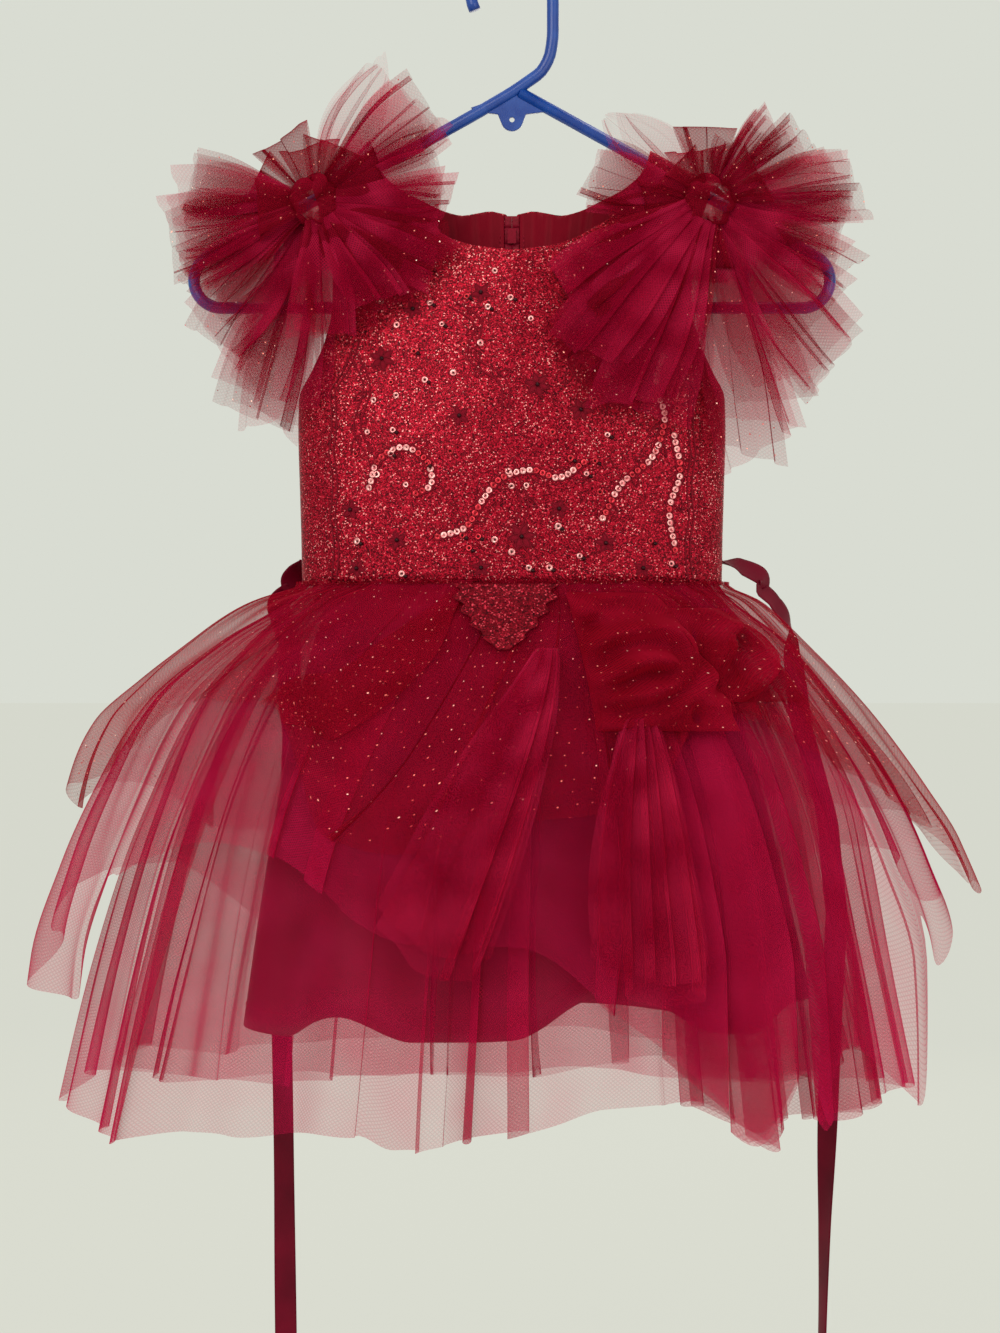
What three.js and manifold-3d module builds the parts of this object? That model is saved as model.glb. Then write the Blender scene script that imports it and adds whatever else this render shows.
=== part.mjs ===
// A child's pageant tutu dress on a tubular plastic hanger. Millimetres.
// +X is the viewer's right, +Y the back of the dress, +Z up. The origin is the inside top of the hanger's hook,
// which is the point that a rail carries.
//
// The bodice is a glitter front, two backs, a half lining that shows inside the back neck, a centre back zip and a
// lace panel laid on the front. Below the waist seam hang five gathered rings, one inside the next: a satin lining,
// two long tulle skirts, a handkerchief tulle skirt and a glitter overskirt. Pick-ups, a lace point, two ribbon ties
// and, on each shoulder, ten pleated tulle fans sewn to two gathered bands finish it.
import * as THREE from "three";
import { mergeVertices } from "three/addons/utils/BufferGeometryUtils.js";
import Module from "manifold-3d";

const wasm = await Module();
wasm.setup();

// ---- driving dimensions -------------------------------------------------------------------------------------------
const SEAM_GAP = 0.3;          // two sewn pieces stay this far apart
const BODICE_WALL = 1.6;
const THIN_WALL = 1.0;         // lining, lace, ribbon, zip tape
const TULLE_WALL = 1.5;
const TUBE_RADIUS = 4;         // hanger tube
const WAIST_Z = -414;          // bottom edge of the bodice
const ARMHOLE_Z = -292;        // lowest point of the armhole
const NECK_HALF = 91;          // neck point, out from the centre
const SHOULDER_HALF = 131;     // outer end of the shoulder seam
const OVAL_POWER = 2.2;        // every horizontal section is |x/a|^n + |y/b|^n = 1

// ---- small helpers ------------------------------------------------------------------------------------------------
const lerp = THREE.MathUtils.lerp;
const clamp = THREE.MathUtils.clamp;
const smooth = (x, low, high) => THREE.MathUtils.smoothstep(x, low, high);
const radians = THREE.MathUtils.degToRad;
const vec = (x, y, z) => new THREE.Vector3(x, y, z);
const range = (count) => Array.from({ length: count }, (_, i) => i);

// A smooth function through rows of [x, y], kept flat at local extremes so that it never overshoots.
function through(rows) {
  const points = [...rows].sort((a, b) => a[0] - b[0]);
  const x = points.map((p) => p[0]);
  const y = points.map((p) => p[1]);
  const last = x.length - 1;
  const slope = range(last).map((i) => (y[i + 1] - y[i]) / (x[i + 1] - x[i]));
  const tangent = x.map((_, i) => {
    if (i === 0) return slope[0];
    if (i === last) return slope[last - 1];
    return slope[i - 1] * slope[i] <= 0 ? 0 : (2 * slope[i - 1] * slope[i]) / (slope[i - 1] + slope[i]);
  });
  return (at) => {
    if (at <= x[0]) return y[0];
    if (at >= x[last]) return y[last];
    let i = 0;
    while (at > x[i + 1]) i += 1;
    const width = x[i + 1] - x[i];
    const t = (at - x[i]) / width;
    const s = 1 - t;
    return (
      y[i] * s * s * (1 + 2 * t) + y[i + 1] * t * t * (3 - 2 * t) +
      tangent[i] * width * t * s * s - tangent[i + 1] * width * s * t * t
    );
  };
}

// The same through a closed turn of [degrees, value].
function around(rows) {
  const turns = [-360, 0, 360].flatMap((turn) => rows.map(([deg, value]) => [deg + turn, value]));
  return through(turns);
}

// Columns of a table with named columns, each as a smooth function of its first column.
function profiles(names, rows) {
  return Object.fromEntries(names.slice(1).map((name, i) => [name, through(rows.map((r) => [r[0], r[i + 1]]))]));
}

// Half the depth of an oval section, as a share, at share u of its half width.
const ovalShare = (u) => Math.max(0, 1 - Math.abs(u) ** OVAL_POWER) ** (1 / OVAL_POWER);

// ---- walls --------------------------------------------------------------------------------------------------------
// A closed wall from a grid of middle points and, at each, the vector to its outer face. closed joins the first and
// last column into a ring.
function wall(middle, half, closed = false) {
  const rows = middle.length;
  const columns = middle[0].length;
  const positions = [];
  for (const side of [1, -1])
    for (const [j, row] of middle.entries())
      for (const [i, p] of row.entries())
        positions.push(...p.clone().addScaledVector(half[j][i], side).toArray());
  const outer = (j, i) => j * columns + (i % columns);
  const inner = (j, i) => rows * columns + outer(j, i);
  const index = [];
  const quad = (a, b, c, d) => index.push(a, b, c, a, c, d);
  const spans = closed ? columns : columns - 1;
  for (let j = 0; j < rows - 1; j += 1)
    for (let i = 0; i < spans; i += 1) {
      quad(outer(j, i), outer(j, i + 1), outer(j + 1, i + 1), outer(j + 1, i));
      index.push(inner(j, i), inner(j + 1, i + 1), inner(j, i + 1));
      index.push(inner(j, i), inner(j + 1, i), inner(j + 1, i + 1));
    }
  for (let i = 0; i < spans; i += 1) {
    quad(inner(0, i), inner(0, i + 1), outer(0, i + 1), outer(0, i));
    quad(outer(rows - 1, i), outer(rows - 1, i + 1), inner(rows - 1, i + 1), inner(rows - 1, i));
  }
  for (let j = 0; j < rows - 1 && !closed; j += 1) {
    quad(outer(j, 0), outer(j + 1, 0), inner(j + 1, 0), inner(j, 0));
    quad(inner(j, columns - 1), inner(j + 1, columns - 1), outer(j + 1, columns - 1), outer(j, columns - 1));
  }
  return facingOut(positions, index);
}

// A geometry whose faces point out, whichever way round its grid ran.
function facingOut(positions, index) {
  const corner = (k) => vec(...positions.slice(3 * index[k], 3 * index[k] + 3));
  let volume = 0;
  for (let k = 0; k < index.length; k += 3) volume += corner(k).dot(corner(k + 1).cross(corner(k + 2)));
  if (volume < 0)
    for (let k = 0; k < index.length; k += 3) [index[k + 1], index[k + 2]] = [index[k + 2], index[k + 1]];
  const geometry = new THREE.BufferGeometry();
  geometry.setAttribute("position", new THREE.Float32BufferAttribute(positions, 3));
  geometry.setIndex(index);
  return geometry;
}

// Unit normals of the surface point(v, u) at each place of a grid, by small steps inside its edges.
function normalsOf(point, vs, us, step = 4e-3) {
  const near = (t, move) => clamp(t + move, 0, 1);
  return vs.map((v) =>
    us.map((u) => {
      const acrossStep = point(v, near(u, step)).sub(point(v, near(u, -step)));
      const alongStep = point(near(v, step), u).sub(point(near(v, -step), u));
      return acrossStep.cross(alongStep).normalize();
    }),
  );
}

// ---- solids that are cut or joined --------------------------------------------------------------------------------
function toSolid(geometry) {
  const plain = geometry.clone();
  plain.deleteAttribute("normal");
  plain.deleteAttribute("uv");
  const merged = mergeVertices(plain, 1e-4);
  return new wasm.Manifold(
    new wasm.Mesh({
      numProp: 3,
      vertProperties: new Float32Array(merged.attributes.position.array),
      triVerts: new Uint32Array(merged.index.array),
    }),
  );
}

function toGeometry(solid) {
  const mesh = solid.getMesh();
  const geometry = new THREE.BufferGeometry();
  geometry.setAttribute("position", new THREE.Float32BufferAttribute(mesh.vertProperties, 3));
  geometry.setIndex(Array.from(mesh.triVerts));
  return geometry;
}

// ---- finishes -----------------------------------------------------------------------------------------------------
const finish = (color, roughness, metalness = 0) => new THREE.MeshStandardMaterial({ color, roughness, metalness });
const finishes = {
  plastic: finish(0x1f4f96, 0.3),
  glitter: finish(0xb01c2e, 0.45, 0.2),
  liningSatin: finish(0x7a0f24, 0.5),
  skirtSatin: finish(0x8c1029, 0.45),
  tulle: finish(0xb32146, 0.8),
  glitterTulle: finish(0xa5142f, 0.7),
  lace: finish(0xa81a2d, 0.6),
  ribbon: finish(0x5a0a1e, 0.35),
  zip: finish(0x8e1a30, 0.5),
  label: finish(0xf0ece6, 0.8),
};

const dress = new THREE.Group();
function add(name, geometry, material, parent = dress) {
  const mesh = new THREE.Mesh(geometry, material);
  mesh.name = name;
  parent.add(mesh);
  return mesh;
}

// ---- hanger -------------------------------------------------------------------------------------------------------
const hanger = {
  hookRadius: 27,              // middle line of the hook
  stemBottom: -62,
  neckX: 5.3,
  neckZ: -89,
  armSlope: 28,                // degrees below level
  endRadius: 18.2,
  endX: 191.6,
  barZ: -231,
  strutX: 155,
  gussetHalf: 26,
  gussetThick: 3,
  tubeSides: 8,
};
const armZ = (x) => hanger.neckZ - Math.tan(radians(hanger.armSlope)) * (Math.abs(x) - hanger.neckX);

function hangerPath() {
  const { hookRadius, endRadius, endX, barZ, stemBottom, neckX, neckZ, armSlope } = hanger;
  const points = [];
  const hookZ = TUBE_RADIUS - hookRadius;
  const arc = (cx, cz, radius, from, to, count) => {
    for (const k of range(count + 1)) {
      const angle = radians(lerp(from, to, k / count));
      points.push(vec(cx + radius * Math.cos(angle), 0, cz + radius * Math.sin(angle)));
    }
  };
  arc(0, hookZ, hookRadius, 205, 0, 10);
  points.push(vec(hookRadius, 0, stemBottom + 14), vec(hookRadius - 1.5, 0, stemBottom));
  points.push(vec(hookRadius - 7, 0, stemBottom - 12), vec(hookRadius - 17, 0, stemBottom - 20));
  points.push(vec(-neckX, 0, neckZ - 3));
  const endZ = barZ + endRadius;
  arc(-endX, endZ, endRadius, 90 + armSlope, 270, 5);
  arc(endX, endZ, endRadius, -90, 90 - armSlope, 5);
  points.push(vec(neckX, 0, neckZ));
  return points;
}

// A tube through the points, each stretch between them a straight step.
function tube(points, radius, sides) {
  const rings = points.map((p, k) => {
    const before = points[Math.max(k - 1, 0)];
    const after = points[Math.min(k + 1, points.length - 1)];
    const along = after.clone().sub(before).normalize();
    const across = vec(along.z, 0, -along.x);
    const depth = vec(0, 1, 0);
    return range(sides).map((s) => {
      const angle = ((s + 0.5) / sides) * 2 * Math.PI;
      return p.clone().addScaledVector(across, radius * Math.cos(angle)).addScaledVector(depth, radius * Math.sin(angle));
    });
  });
  const positions = rings.flat().flatMap((p) => p.toArray());
  const index = [];
  for (const k of range(rings.length - 1))
    for (const s of range(sides)) {
      const [a, b] = [k * sides + s, k * sides + ((s + 1) % sides)];
      index.push(a, b, b + sides, a, b + sides, a + sides);
    }
  const lastRing = (rings.length - 1) * sides;
  for (let s = 1; s < sides - 1; s += 1) {
    index.push(0, s + 1, s);
    index.push(lastRing, lastRing + s, lastRing + s + 1);
  }
  return facingOut(positions, index);
}

function buildHanger() {
  let solid = toSolid(tube(hangerPath(), TUBE_RADIUS, hanger.tubeSides));
  for (const side of [-1, 1]) {
    const x = side * hanger.strutX;
    const strut = tube([vec(x, 0, armZ(x)), vec(x, 0, hanger.barZ)], 2.2, 6);
    solid = solid.add(toSolid(strut));
  }
  const gusset = new THREE.Shape();
  gusset.moveTo(-hanger.gussetHalf, armZ(hanger.gussetHalf) + 1);
  gusset.lineTo(0, hanger.neckZ - 1);
  gusset.lineTo(hanger.gussetHalf, armZ(hanger.gussetHalf) + 1);
  gusset.lineTo(8, armZ(hanger.gussetHalf) - 3);
  gusset.absarc(0, -107, 7, radians(-35), radians(-145), true);
  gusset.lineTo(-8, armZ(hanger.gussetHalf) - 3);
  const eye = new THREE.Path();
  eye.absarc(0, -107, 2, 0, 2 * Math.PI, false);
  gusset.holes.push(eye);
  const plate = new THREE.ExtrudeGeometry(gusset, {
    depth: hanger.gussetThick, bevelEnabled: false, curveSegments: 5,
  });
  plate.rotateX(Math.PI / 2).translate(0, hanger.gussetThick / 2, 0);
  solid = solid.add(toSolid(plate));
  add("hanger", toGeometry(solid), finishes.plastic);
}

// ---- bodice -------------------------------------------------------------------------------------------------------
// The shoulder seam lies on the hanger's arms, and the panels fall from it, front and back.
const SEAT_RADIUS = TUBE_RADIUS + BODICE_WALL / 2 + 1.4;
const SEAT_RISE = SEAT_RADIUS / Math.cos(radians(hanger.armSlope));
const shoulderZ = (x) => armZ(x) + SEAT_RISE;

// half width of the panel at a height: side seam below the armhole, armhole edge above it
const bodiceHalf = through([
  [WAIST_Z, 138], [-385, 138.5], [-350, 139.5], [-312, 140.5], [ARMHOLE_Z, 140], [-274, 131], [-254, 122],
  [-232, 117.5], [-205, 117.5], [-180, 123], [-154, SHOULDER_HALF],
]);
// how far the panels stand from the middle plane, by the drop below the shoulder line
const frontDepth = through([[10, 7], [35, 10], [60, 14.5], [110, 26], [170, 35], [240, 39.5], [330, 40]]);
const backDepth = through([[10, 7], [35, 8.5], [60, 11], [110, 16], [170, 25], [240, 34], [330, 40]]);
const frontNeck = through([[0, -197], [26, -193.5], [41, -188], [55, -180], [68, -171.5], [82, -156.5], [87, -143], [91, -128.4]]);
const backNeck = through([
  [0, -167.5], [6, -166.6], [14, -165], [24, -166.6], [33, -168], [43, -166], [60, -158.5], [72, -152.5], [83, -144],
  [88, -137], [91, -128.4],
]);

function seatDepth(drop, depth) {
  const down = drop * Math.cos(radians(hanger.armSlope));
  const wrapped = Math.sqrt(Math.max(SEAT_RADIUS ** 2 - Math.max(SEAT_RADIUS - down, 0) ** 2, 0));
  return lerp(wrapped, depth(drop), smooth(drop, 6, 16));
}

// Where a panel's middle surface lies: facing is -1 for the front and 1 for a back.
function bodicePoint(facing, x, z) {
  const drop = shoulderZ(Math.min(Math.abs(x), SHOULDER_HALF)) - z;
  const u = clamp(x / bodiceHalf(z), -1, 1);
  const openArm = smooth(z, ARMHOLE_Z - 2, ARMHOLE_Z + 46);
  const side = ovalShare(u * (1 - 0.17 * openArm));
  const share = lerp(side, 1, smooth(-drop, -40, -8));
  const depth = seatDepth(drop, facing < 0 ? frontDepth : backDepth);
  return vec(x, facing * Math.max(depth * share, (SEAM_GAP + BODICE_WALL * 0.2) / 2), z);
}

// Grid shares across a half panel: closest together at the neck's corner and at the side.
const neckShare = NECK_HALF / SHOULDER_HALF;
const acrossShares = [0, 0.16, 0.32, 0.46, 0.57, 0.64, 0.672, neckShare, 0.77, 0.86, 0.94, 0.983, 1];
const upShares = [0, 0.18, 0.36, 0.5, 0.62, 0.72, 0.81, 0.88, 0.93, 0.965, 0.987, 1];

// The top edge at a share across: neckline inside the neck point, shoulder seam outside it.
function topEdge(share, neck) {
  const x = Math.abs(share) * SHOULDER_HALF;
  return x < NECK_HALF ? neck((x * bodiceHalf(neck(x))) / SHOULDER_HALF) : shoulderZ(x) - 0.35;
}

// Unit normal of a panel's middle surface, towards its outside.
function bodiceNormal(facing, p) {
  const d = 0.5;
  const limit = bodiceHalf(p.z) - d;
  const x = clamp(p.x, -limit, limit);
  const depth = (px, pz) => bodicePoint(facing, px, pz).y;
  const acrossSlope = (depth(x + d, p.z) - depth(x - d, p.z)) / (2 * d);
  const upSlope = (depth(x, p.z + d) - depth(x, p.z - d)) / (2 * d);
  return vec(-acrossSlope, 1, -upSlope).multiplyScalar(facing).normalize();
}

// shift moves the panel out along its normal; least keeps it that far from the middle, and drop that far below the
// shoulder seam.
function panelAt({ facing, neck, shift = 0, least = 0, drop = 0 }, v, share) {
  const top = Math.min(topEdge(share, neck), shoulderZ(share * SHOULDER_HALF) - drop);
  const z = lerp(WAIST_Z, top, v);
  const flat = share * bodiceHalf(z);
  const side = Math.sign(flat) || Math.sign(least);
  const p = bodicePoint(facing, side * Math.max(Math.abs(flat), Math.abs(least)), z);
  const normal = bodiceNormal(facing, p);
  return { p: p.addScaledVector(normal, shift), normal };
}

function panel(options, shares, ups, thickness) {
  const grid = ups.map((v) => shares.map((share) => panelAt(options, v, share)));
  const middle = grid.map((row) => row.map((g) => g.p));
  return wall(middle, grid.map((row) => row.map((g) => g.normal.multiplyScalar(thickness / 2))));
}

const zip = {
  panelEdge: 3.3,              // half the slot between the two backs
  liningEdge: 5.4,
  tapeHalf: 4.9,
  sliderTop: -176,
  sliderHigh: 10,
  sliderHalf: 2.9,
  plateThick: 1.4,
  pinRadius: 0.7,
  eyeRadius: 1.1,
  tabLong: 19,
  tabThick: 1,
};
const INSIDE = -(BODICE_WALL / 2 + SEAM_GAP + THIN_WALL / 2 + 0.3);

function buildBodice() {
  const mirrored = (shares) => [...shares.filter((s) => s > 0).map((s) => -s).reverse(), ...shares];
  const front = { facing: -1, neck: frontNeck };
  add("bodice_front", panel(front, mirrored(acrossShares), upShares, BODICE_WALL), finishes.glitter);
  const laceShares = [0, 0.16, 0.32, 0.46, 0.57, 0.64, 0.71, 0.79, 0.86];
  const laceUps = [0.006, 0.18, 0.36, 0.52, 0.67, 0.8, 0.9, 0.985];
  const laceOut = { ...front, shift: BODICE_WALL / 2 + SEAM_GAP + THIN_WALL / 2 + 0.25, drop: 16 };
  add("front_lace", panel(laceOut, mirrored(laceShares), laceUps, THIN_WALL), finishes.lace);
  const liningShares = [0, 0.16, 0.32, 0.46, 0.57, 0.64];
  const liningUps = [0.1, 0.18, 0.36, 0.5, 0.62, 0.72, 0.81, 0.88, 0.93, 0.98];
  for (const [name, side] of [["left", -1], ["right", 1]]) {
    const cut = (shares) => shares.map((s) => side * s).sort((a, b) => a - b);
    const back = { facing: 1, neck: backNeck, least: side * zip.panelEdge };
    add(`bodice_back_${name}`, panel(back, cut(acrossShares), upShares, BODICE_WALL), finishes.glitter);
    const inner = { facing: 1, neck: backNeck, least: side * zip.liningEdge, shift: INSIDE, drop: 14 };
    add(`back_lining_${name}`, panel(inner, cut(liningShares), liningUps, THIN_WALL), finishes.liningSatin);
  }
  const label = { facing: 1, neck: backNeck, shift: INSIDE - THIN_WALL - SEAM_GAP };
  const labelUps = [-190, -202, -214].map((z) => (z - WAIST_Z) / (backNeck(30) - WAIST_Z));
  add("neck_label", panel(label, [0.155, 0.25, 0.35], labelUps.reverse(), THIN_WALL), finishes.label);
}

// ---- zip ----------------------------------------------------------------------------------------------------------
const box = (x0, x1, y0, y1, z0, z1) =>
  toSolid(new THREE.BoxGeometry(x1 - x0, y1 - y0, z1 - z0).translate((x0 + x1) / 2, (y0 + y1) / 2, (z0 + z1) / 2));
const rod = (radius, x0, x1, y, z, sides = 12) =>
  toSolid(new THREE.CylinderGeometry(radius, radius, x1 - x0, sides).rotateZ(Math.PI / 2).translate((x0 + x1) / 2, y, z));

// The slider's plates and bail stand in a frame turned to the slope of the back.
function buildZip() {
  const zMiddle = zip.sliderTop - zip.sliderHigh / 2;
  const seat = bodicePoint(1, 0, zMiddle);
  const normal = bodiceNormal(1, seat);
  const slope = Math.atan2(normal.z, normal.y);
  const place = (solid) => solid.rotate([(slope * 180) / Math.PI, 0, 0]).translate([0, seat.y, zMiddle]);
  const half = zip.sliderHigh / 2;
  const tapeIn = INSIDE - THIN_WALL / 2;
  const tapeOut = INSIDE + THIN_WALL / 2;

  const tapeUps = [0.012, 0.3, 0.55, 0.75, 0.87, 0.93, 0.985];
  const tape = panel({ facing: 1, neck: backNeck, shift: INSIDE }, [-1, 0, 1].map((s) => s * 0.037), tapeUps, THIN_WALL);
  const slot = place(box(-1, 1, tapeIn - 2, tapeOut + 2, -half - 1, half + 1));
  add("zip_tape", toGeometry(toSolid(tape).subtract(slot)), finishes.zip);

  const outer0 = tapeOut + 0.4;
  const outer1 = outer0 + zip.plateThick;
  const inner0 = tapeIn - 0.4;
  const inner1 = inner0 - zip.plateThick;
  const pinY = outer1 + 2.1;
  const pinZ = 2;
  const w = zip.sliderHalf;
  const slider = box(-w, w, outer0, outer1, -half, half)
    .add(box(-w, w, inner1, inner0, -half, half))
    .add(box(-0.6, 0.6, inner0 - 0.5, outer0 + 0.5, -half, half))
    .add(box(-2.2, -1.3, outer1 - 0.5, pinY + 0.9, pinZ - 1.4, pinZ + 1.4))
    .add(box(1.3, 2.2, outer1 - 0.5, pinY + 0.9, pinZ - 1.4, pinZ + 1.4))
    .add(rod(zip.pinRadius, -1.8, 1.8, pinY, pinZ));
  add("zip_slider", toGeometry(place(slider)), finishes.zip);

  const tab = new THREE.Shape();
  tab.moveTo(-0.9, 0);
  tab.lineTo(0.9, 0);
  tab.lineTo(0.9, -4);
  tab.lineTo(2.5, -zip.tabLong + 3.5);
  tab.absarc(0, -zip.tabLong + 2.6, 2.6, 0, -Math.PI, true);
  tab.lineTo(-0.9, -4);
  const plate = new THREE.ExtrudeGeometry(tab, { depth: zip.tabThick, bevelEnabled: false, curveSegments: 4 });
  plate.rotateX(Math.PI / 2).translate(0, zip.tabThick / 2, 0);
  const pull = toSolid(plate).translate([0, pinY, pinZ - zip.pinRadius - 0.6])
    .add(rod(1.9, -0.9, 0.9, pinY, pinZ, 14))
    .subtract(rod(zip.eyeRadius, -2, 2, pinY, pinZ));
  add("zip_pull_tab", toGeometry(place(pull)), finishes.zip);
}

// ---- skirts -------------------------------------------------------------------------------------------------------
// Each ring is an oval at every height, with half widths left and right and a half depth. All the tulle folds
// together, so the rings stay one inside the next.
const SKIRT_TOP = WAIST_Z - SEAM_GAP - 0.9;
const sizeColumns = ["z", "left", "right", "depth"];
const sizes = {
  lining: profiles(sizeColumns, [
    [SKIRT_TOP, 118, 118, 32.8], [-450, 130, 132, 37], [-500, 143, 148, 47], [-600, 160, 172, 66],
    [-720, 176, 196, 84],
  ]),
  second: profiles(sizeColumns, [
    [SKIRT_TOP, 124, 124, 35.4], [-450, 150, 145, 44], [-490, 178, 168, 60], [-560, 210, 198, 81],
    [-661, 238, 220, 102], [-740, 256, 240, 116],
  ]),
  long: profiles(sizeColumns, [
    [SKIRT_TOP, 130, 130, 38], [-450, 170, 160, 50.5], [-490, 205, 190, 70], [-560, 238, 222, 93],
    [-595, 250, 230, 102], [-661, 266, 242, 114], [-780, 292, 264, 133],
  ]),
  points: profiles(sizeColumns, [
    [SKIRT_TOP, 136, 136, 40.8], [-424, 146, 144, 44], [-450, 190, 178, 57], [-490, 238, 212, 80],
    [-549, 272, 254, 103], [-595, 292, 276, 114], [-655, 310, 296, 124], [-780, 318, 300, 143],
  ]),
  over: profiles(sizeColumns, [
    [SKIRT_TOP, 142, 142, 43.1], [-424, 170, 162, 49.5], [-432, 186, 172, 54], [-450, 212, 190, 65],
    [-476, 245, 214, 82], [-503, 270, 236, 96], [-549, 286, 269, 113], [-582, 292, 289, 122],
    [-660, 318, 314, 133], [-780, 330, 320, 153],
  ]),
};
const foldDepth = through([
  [SKIRT_TOP, 0.4], [-430, 1.8], [-450, 3.4], [-500, 7], [-560, 10], [-660, 13], [-780, 16],
]);
const tulleFold = (angle) =>
  0.5 * Math.sin(13 * angle + 0.7) + 0.35 * Math.sin(19 * angle + 2) + 0.3 * Math.sin(8 * angle + 4);
const liningDepth = through([[SKIRT_TOP, 0.2], [-450, 1], [-500, 3], [-600, 6], [-720, 9]]);
const liningFold = (angle) => 0.75 * Math.sin(9 * angle + 1.3) + 0.3 * Math.sin(5 * angle);

// A point of a ring at an angle in degrees, 0 at the front and 90 on the right, and out beyond it.
function ringPoint(layer, degrees, z, out = 0) {
  const angle = radians(degrees);
  const sine = Math.sin(angle);
  const size = sizes[layer];
  const width = lerp(size.left(z), size.right(z), smooth(sine, -0.6, 0.6));
  const fold = layer === "lining" ? liningDepth(z) * liningFold(angle) : foldDepth(z) * tulleFold(angle);
  const away = fold + out;
  return vec((width + away) * sine, -(size.depth(z) + away) * Math.cos(angle), z);
}

// Hem heights round each ring, from the front (0) by the right (90) and the back (180) to the left (270).
const hems = {
  lining: around([
    [0, -702], [16, -678], [27, -680], [40, -700], [58, -704], [78, -682], [95, -690], [130, -704], [180, -700],
    [230, -706], [270, -700], [300, -706], [322, -690], [338, -706],
  ]),
  second: around([
    [0, -722], [20, -712], [45, -728], [70, -716], [95, -722], [140, -732], [180, -722], [225, -734], [265, -718],
    [300, -730], [335, -720],
  ]),
  long: around([
    [0, -753], [6, -747], [13, -738], [25, -734], [32, -753], [36, -765], [43, -753], [56, -748], [75, -738],
    [90, -744], [120, -750], [150, -758], [180, -752], [212, -760], [240, -748], [270, -737], [280, -750],
    [303, -764], [322, -761], [335, -752], [341, -755], [345, -765], [354, -759],
  ]),
  points: around([
    [0, -640], [14, -690], [24, -735], [29, -756], [35, -715], [41, -754], [48, -705], [57, -742], [61, -690],
    [65, -628], [70, -662], [76, -645], [86, -612], [97, -622], [104, -600], [125, -590], [150, -668], [175, -600],
    [205, -672], [232, -600], [255, -612], [264, -640], [270, -648], [282, -672], [295, -680], [303, -602],
    [318, -578], [335, -600], [348, -640],
  ]),
  over: around([
    [0, -562], [12, -556], [22, -532], [31, -494], [40, -500], [52, -526], [66, -562], [78, -602], [87, -618],
    [96, -600], [106, -570], [140, -560], [165, -596], [190, -560], [220, -582], [245, -548], [264, -560],
    [273, -560], [284, -544], [297, -528], [309, -492], [322, -488], [331, -530], [337, -572], [346, -586],
  ]),
};
const ringAngles = (frontStep, backStep) => {
  const frontCount = Math.round(192 / frontStep);
  const backCount = Math.round(168 / backStep);
  return [
    ...range(frontCount).map((i) => -96 + (192 * i) / frontCount),
    ...range(backCount).map((i) => 96 + (168 * i) / backCount),
  ];
};

// A closed wall round the whole skirt, rows being shares of the way down to the hem.
function ring(name, layer, angles, rows, thickness, material) {
  const at = (share, degrees) => ringPoint(layer, degrees, lerp(SKIRT_TOP, hems[layer](degrees), share));
  const middle = rows.map((share) => angles.map((degrees) => at(share, degrees)));
  const half = rows.map((share) =>
    angles.map((degrees) => {
      const across = at(share, degrees + 0.2).sub(at(share, degrees - 0.2));
      const down = at(share + 0.003, degrees).sub(at(Math.max(share - 0.003, 0), degrees));
      return across.cross(down).normalize().multiplyScalar(-thickness / 2);
    }),
  );
  add(name, wall(middle, half, true), material);
}

function buildSkirts() {
  const { skirtSatin, tulle, glitterTulle } = finishes;
  ring("skirt_lining", "lining", ringAngles(6, 8), [0, 0.12, 0.4, 0.7, 1], THIN_WALL + 0.2, skirtSatin);
  ring("tulle_second", "second", ringAngles(5, 7), [0, 0.12, 0.45, 1], TULLE_WALL, tulle);
  ring("tulle_long", "long", ringAngles(4, 6.4), [0, 0.1, 0.3, 0.62, 1], TULLE_WALL, tulle);
  ring("tulle_points", "points", ringAngles(3.5, 6.4), [0, 0.08, 0.25, 0.55, 1], TULLE_WALL, tulle);
  ring("glitter_overskirt", "over", ringAngles(4.2, 6.4), [0, 0.06, 0.2, 0.42, 0.7, 1], TULLE_WALL, glitterTulle);
}

// ---- pieces on the overskirt --------------------------------------------------------------------------------------
// An open sheet over the overskirt: at(share down, share across) gives [degrees, z, out].
function overSheet(name, at, rows, columns, thickness, material) {
  const point = (v, u) => {
    const [degrees, z, out] = at(v, u);
    return ringPoint("over", degrees, z, out);
  };
  const vs = range(rows + 1).map((k) => k / rows);
  const us = range(columns + 1).map((k) => k / columns);
  const normals = normalsOf(point, vs, us);
  const middle = vs.map((v) => us.map((u) => point(v, u)));
  add(name, wall(middle, normals.map((row) => row.map((n) => n.multiplyScalar(thickness / 2)))), material);
}

// Pick-ups: the overskirt's second layer caught up into rounded puffs, and two folded tails that fall from them.
const puffColumns = ["name", "from", "to", "top", "bottom", "bulge", "folds"];
const puffs = [
  ["pick_up_front", 13.2, 34, -420, -508, 32, 4],
  ["pick_up_side", 35.5, 53, -430, -490, 26, 3],
];
const tails = [
  // name, top angle, hem angle, half width at top and hem in degrees, top, hem, folds
  ["tail_left", 6, -11, 4, 6.5, -470, -655, 2],
  ["tail_right", 19, 13, 5, 6.5, -514, -672, 3],
];
const CLEAR_OF_SKIRT = 2.4;

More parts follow.
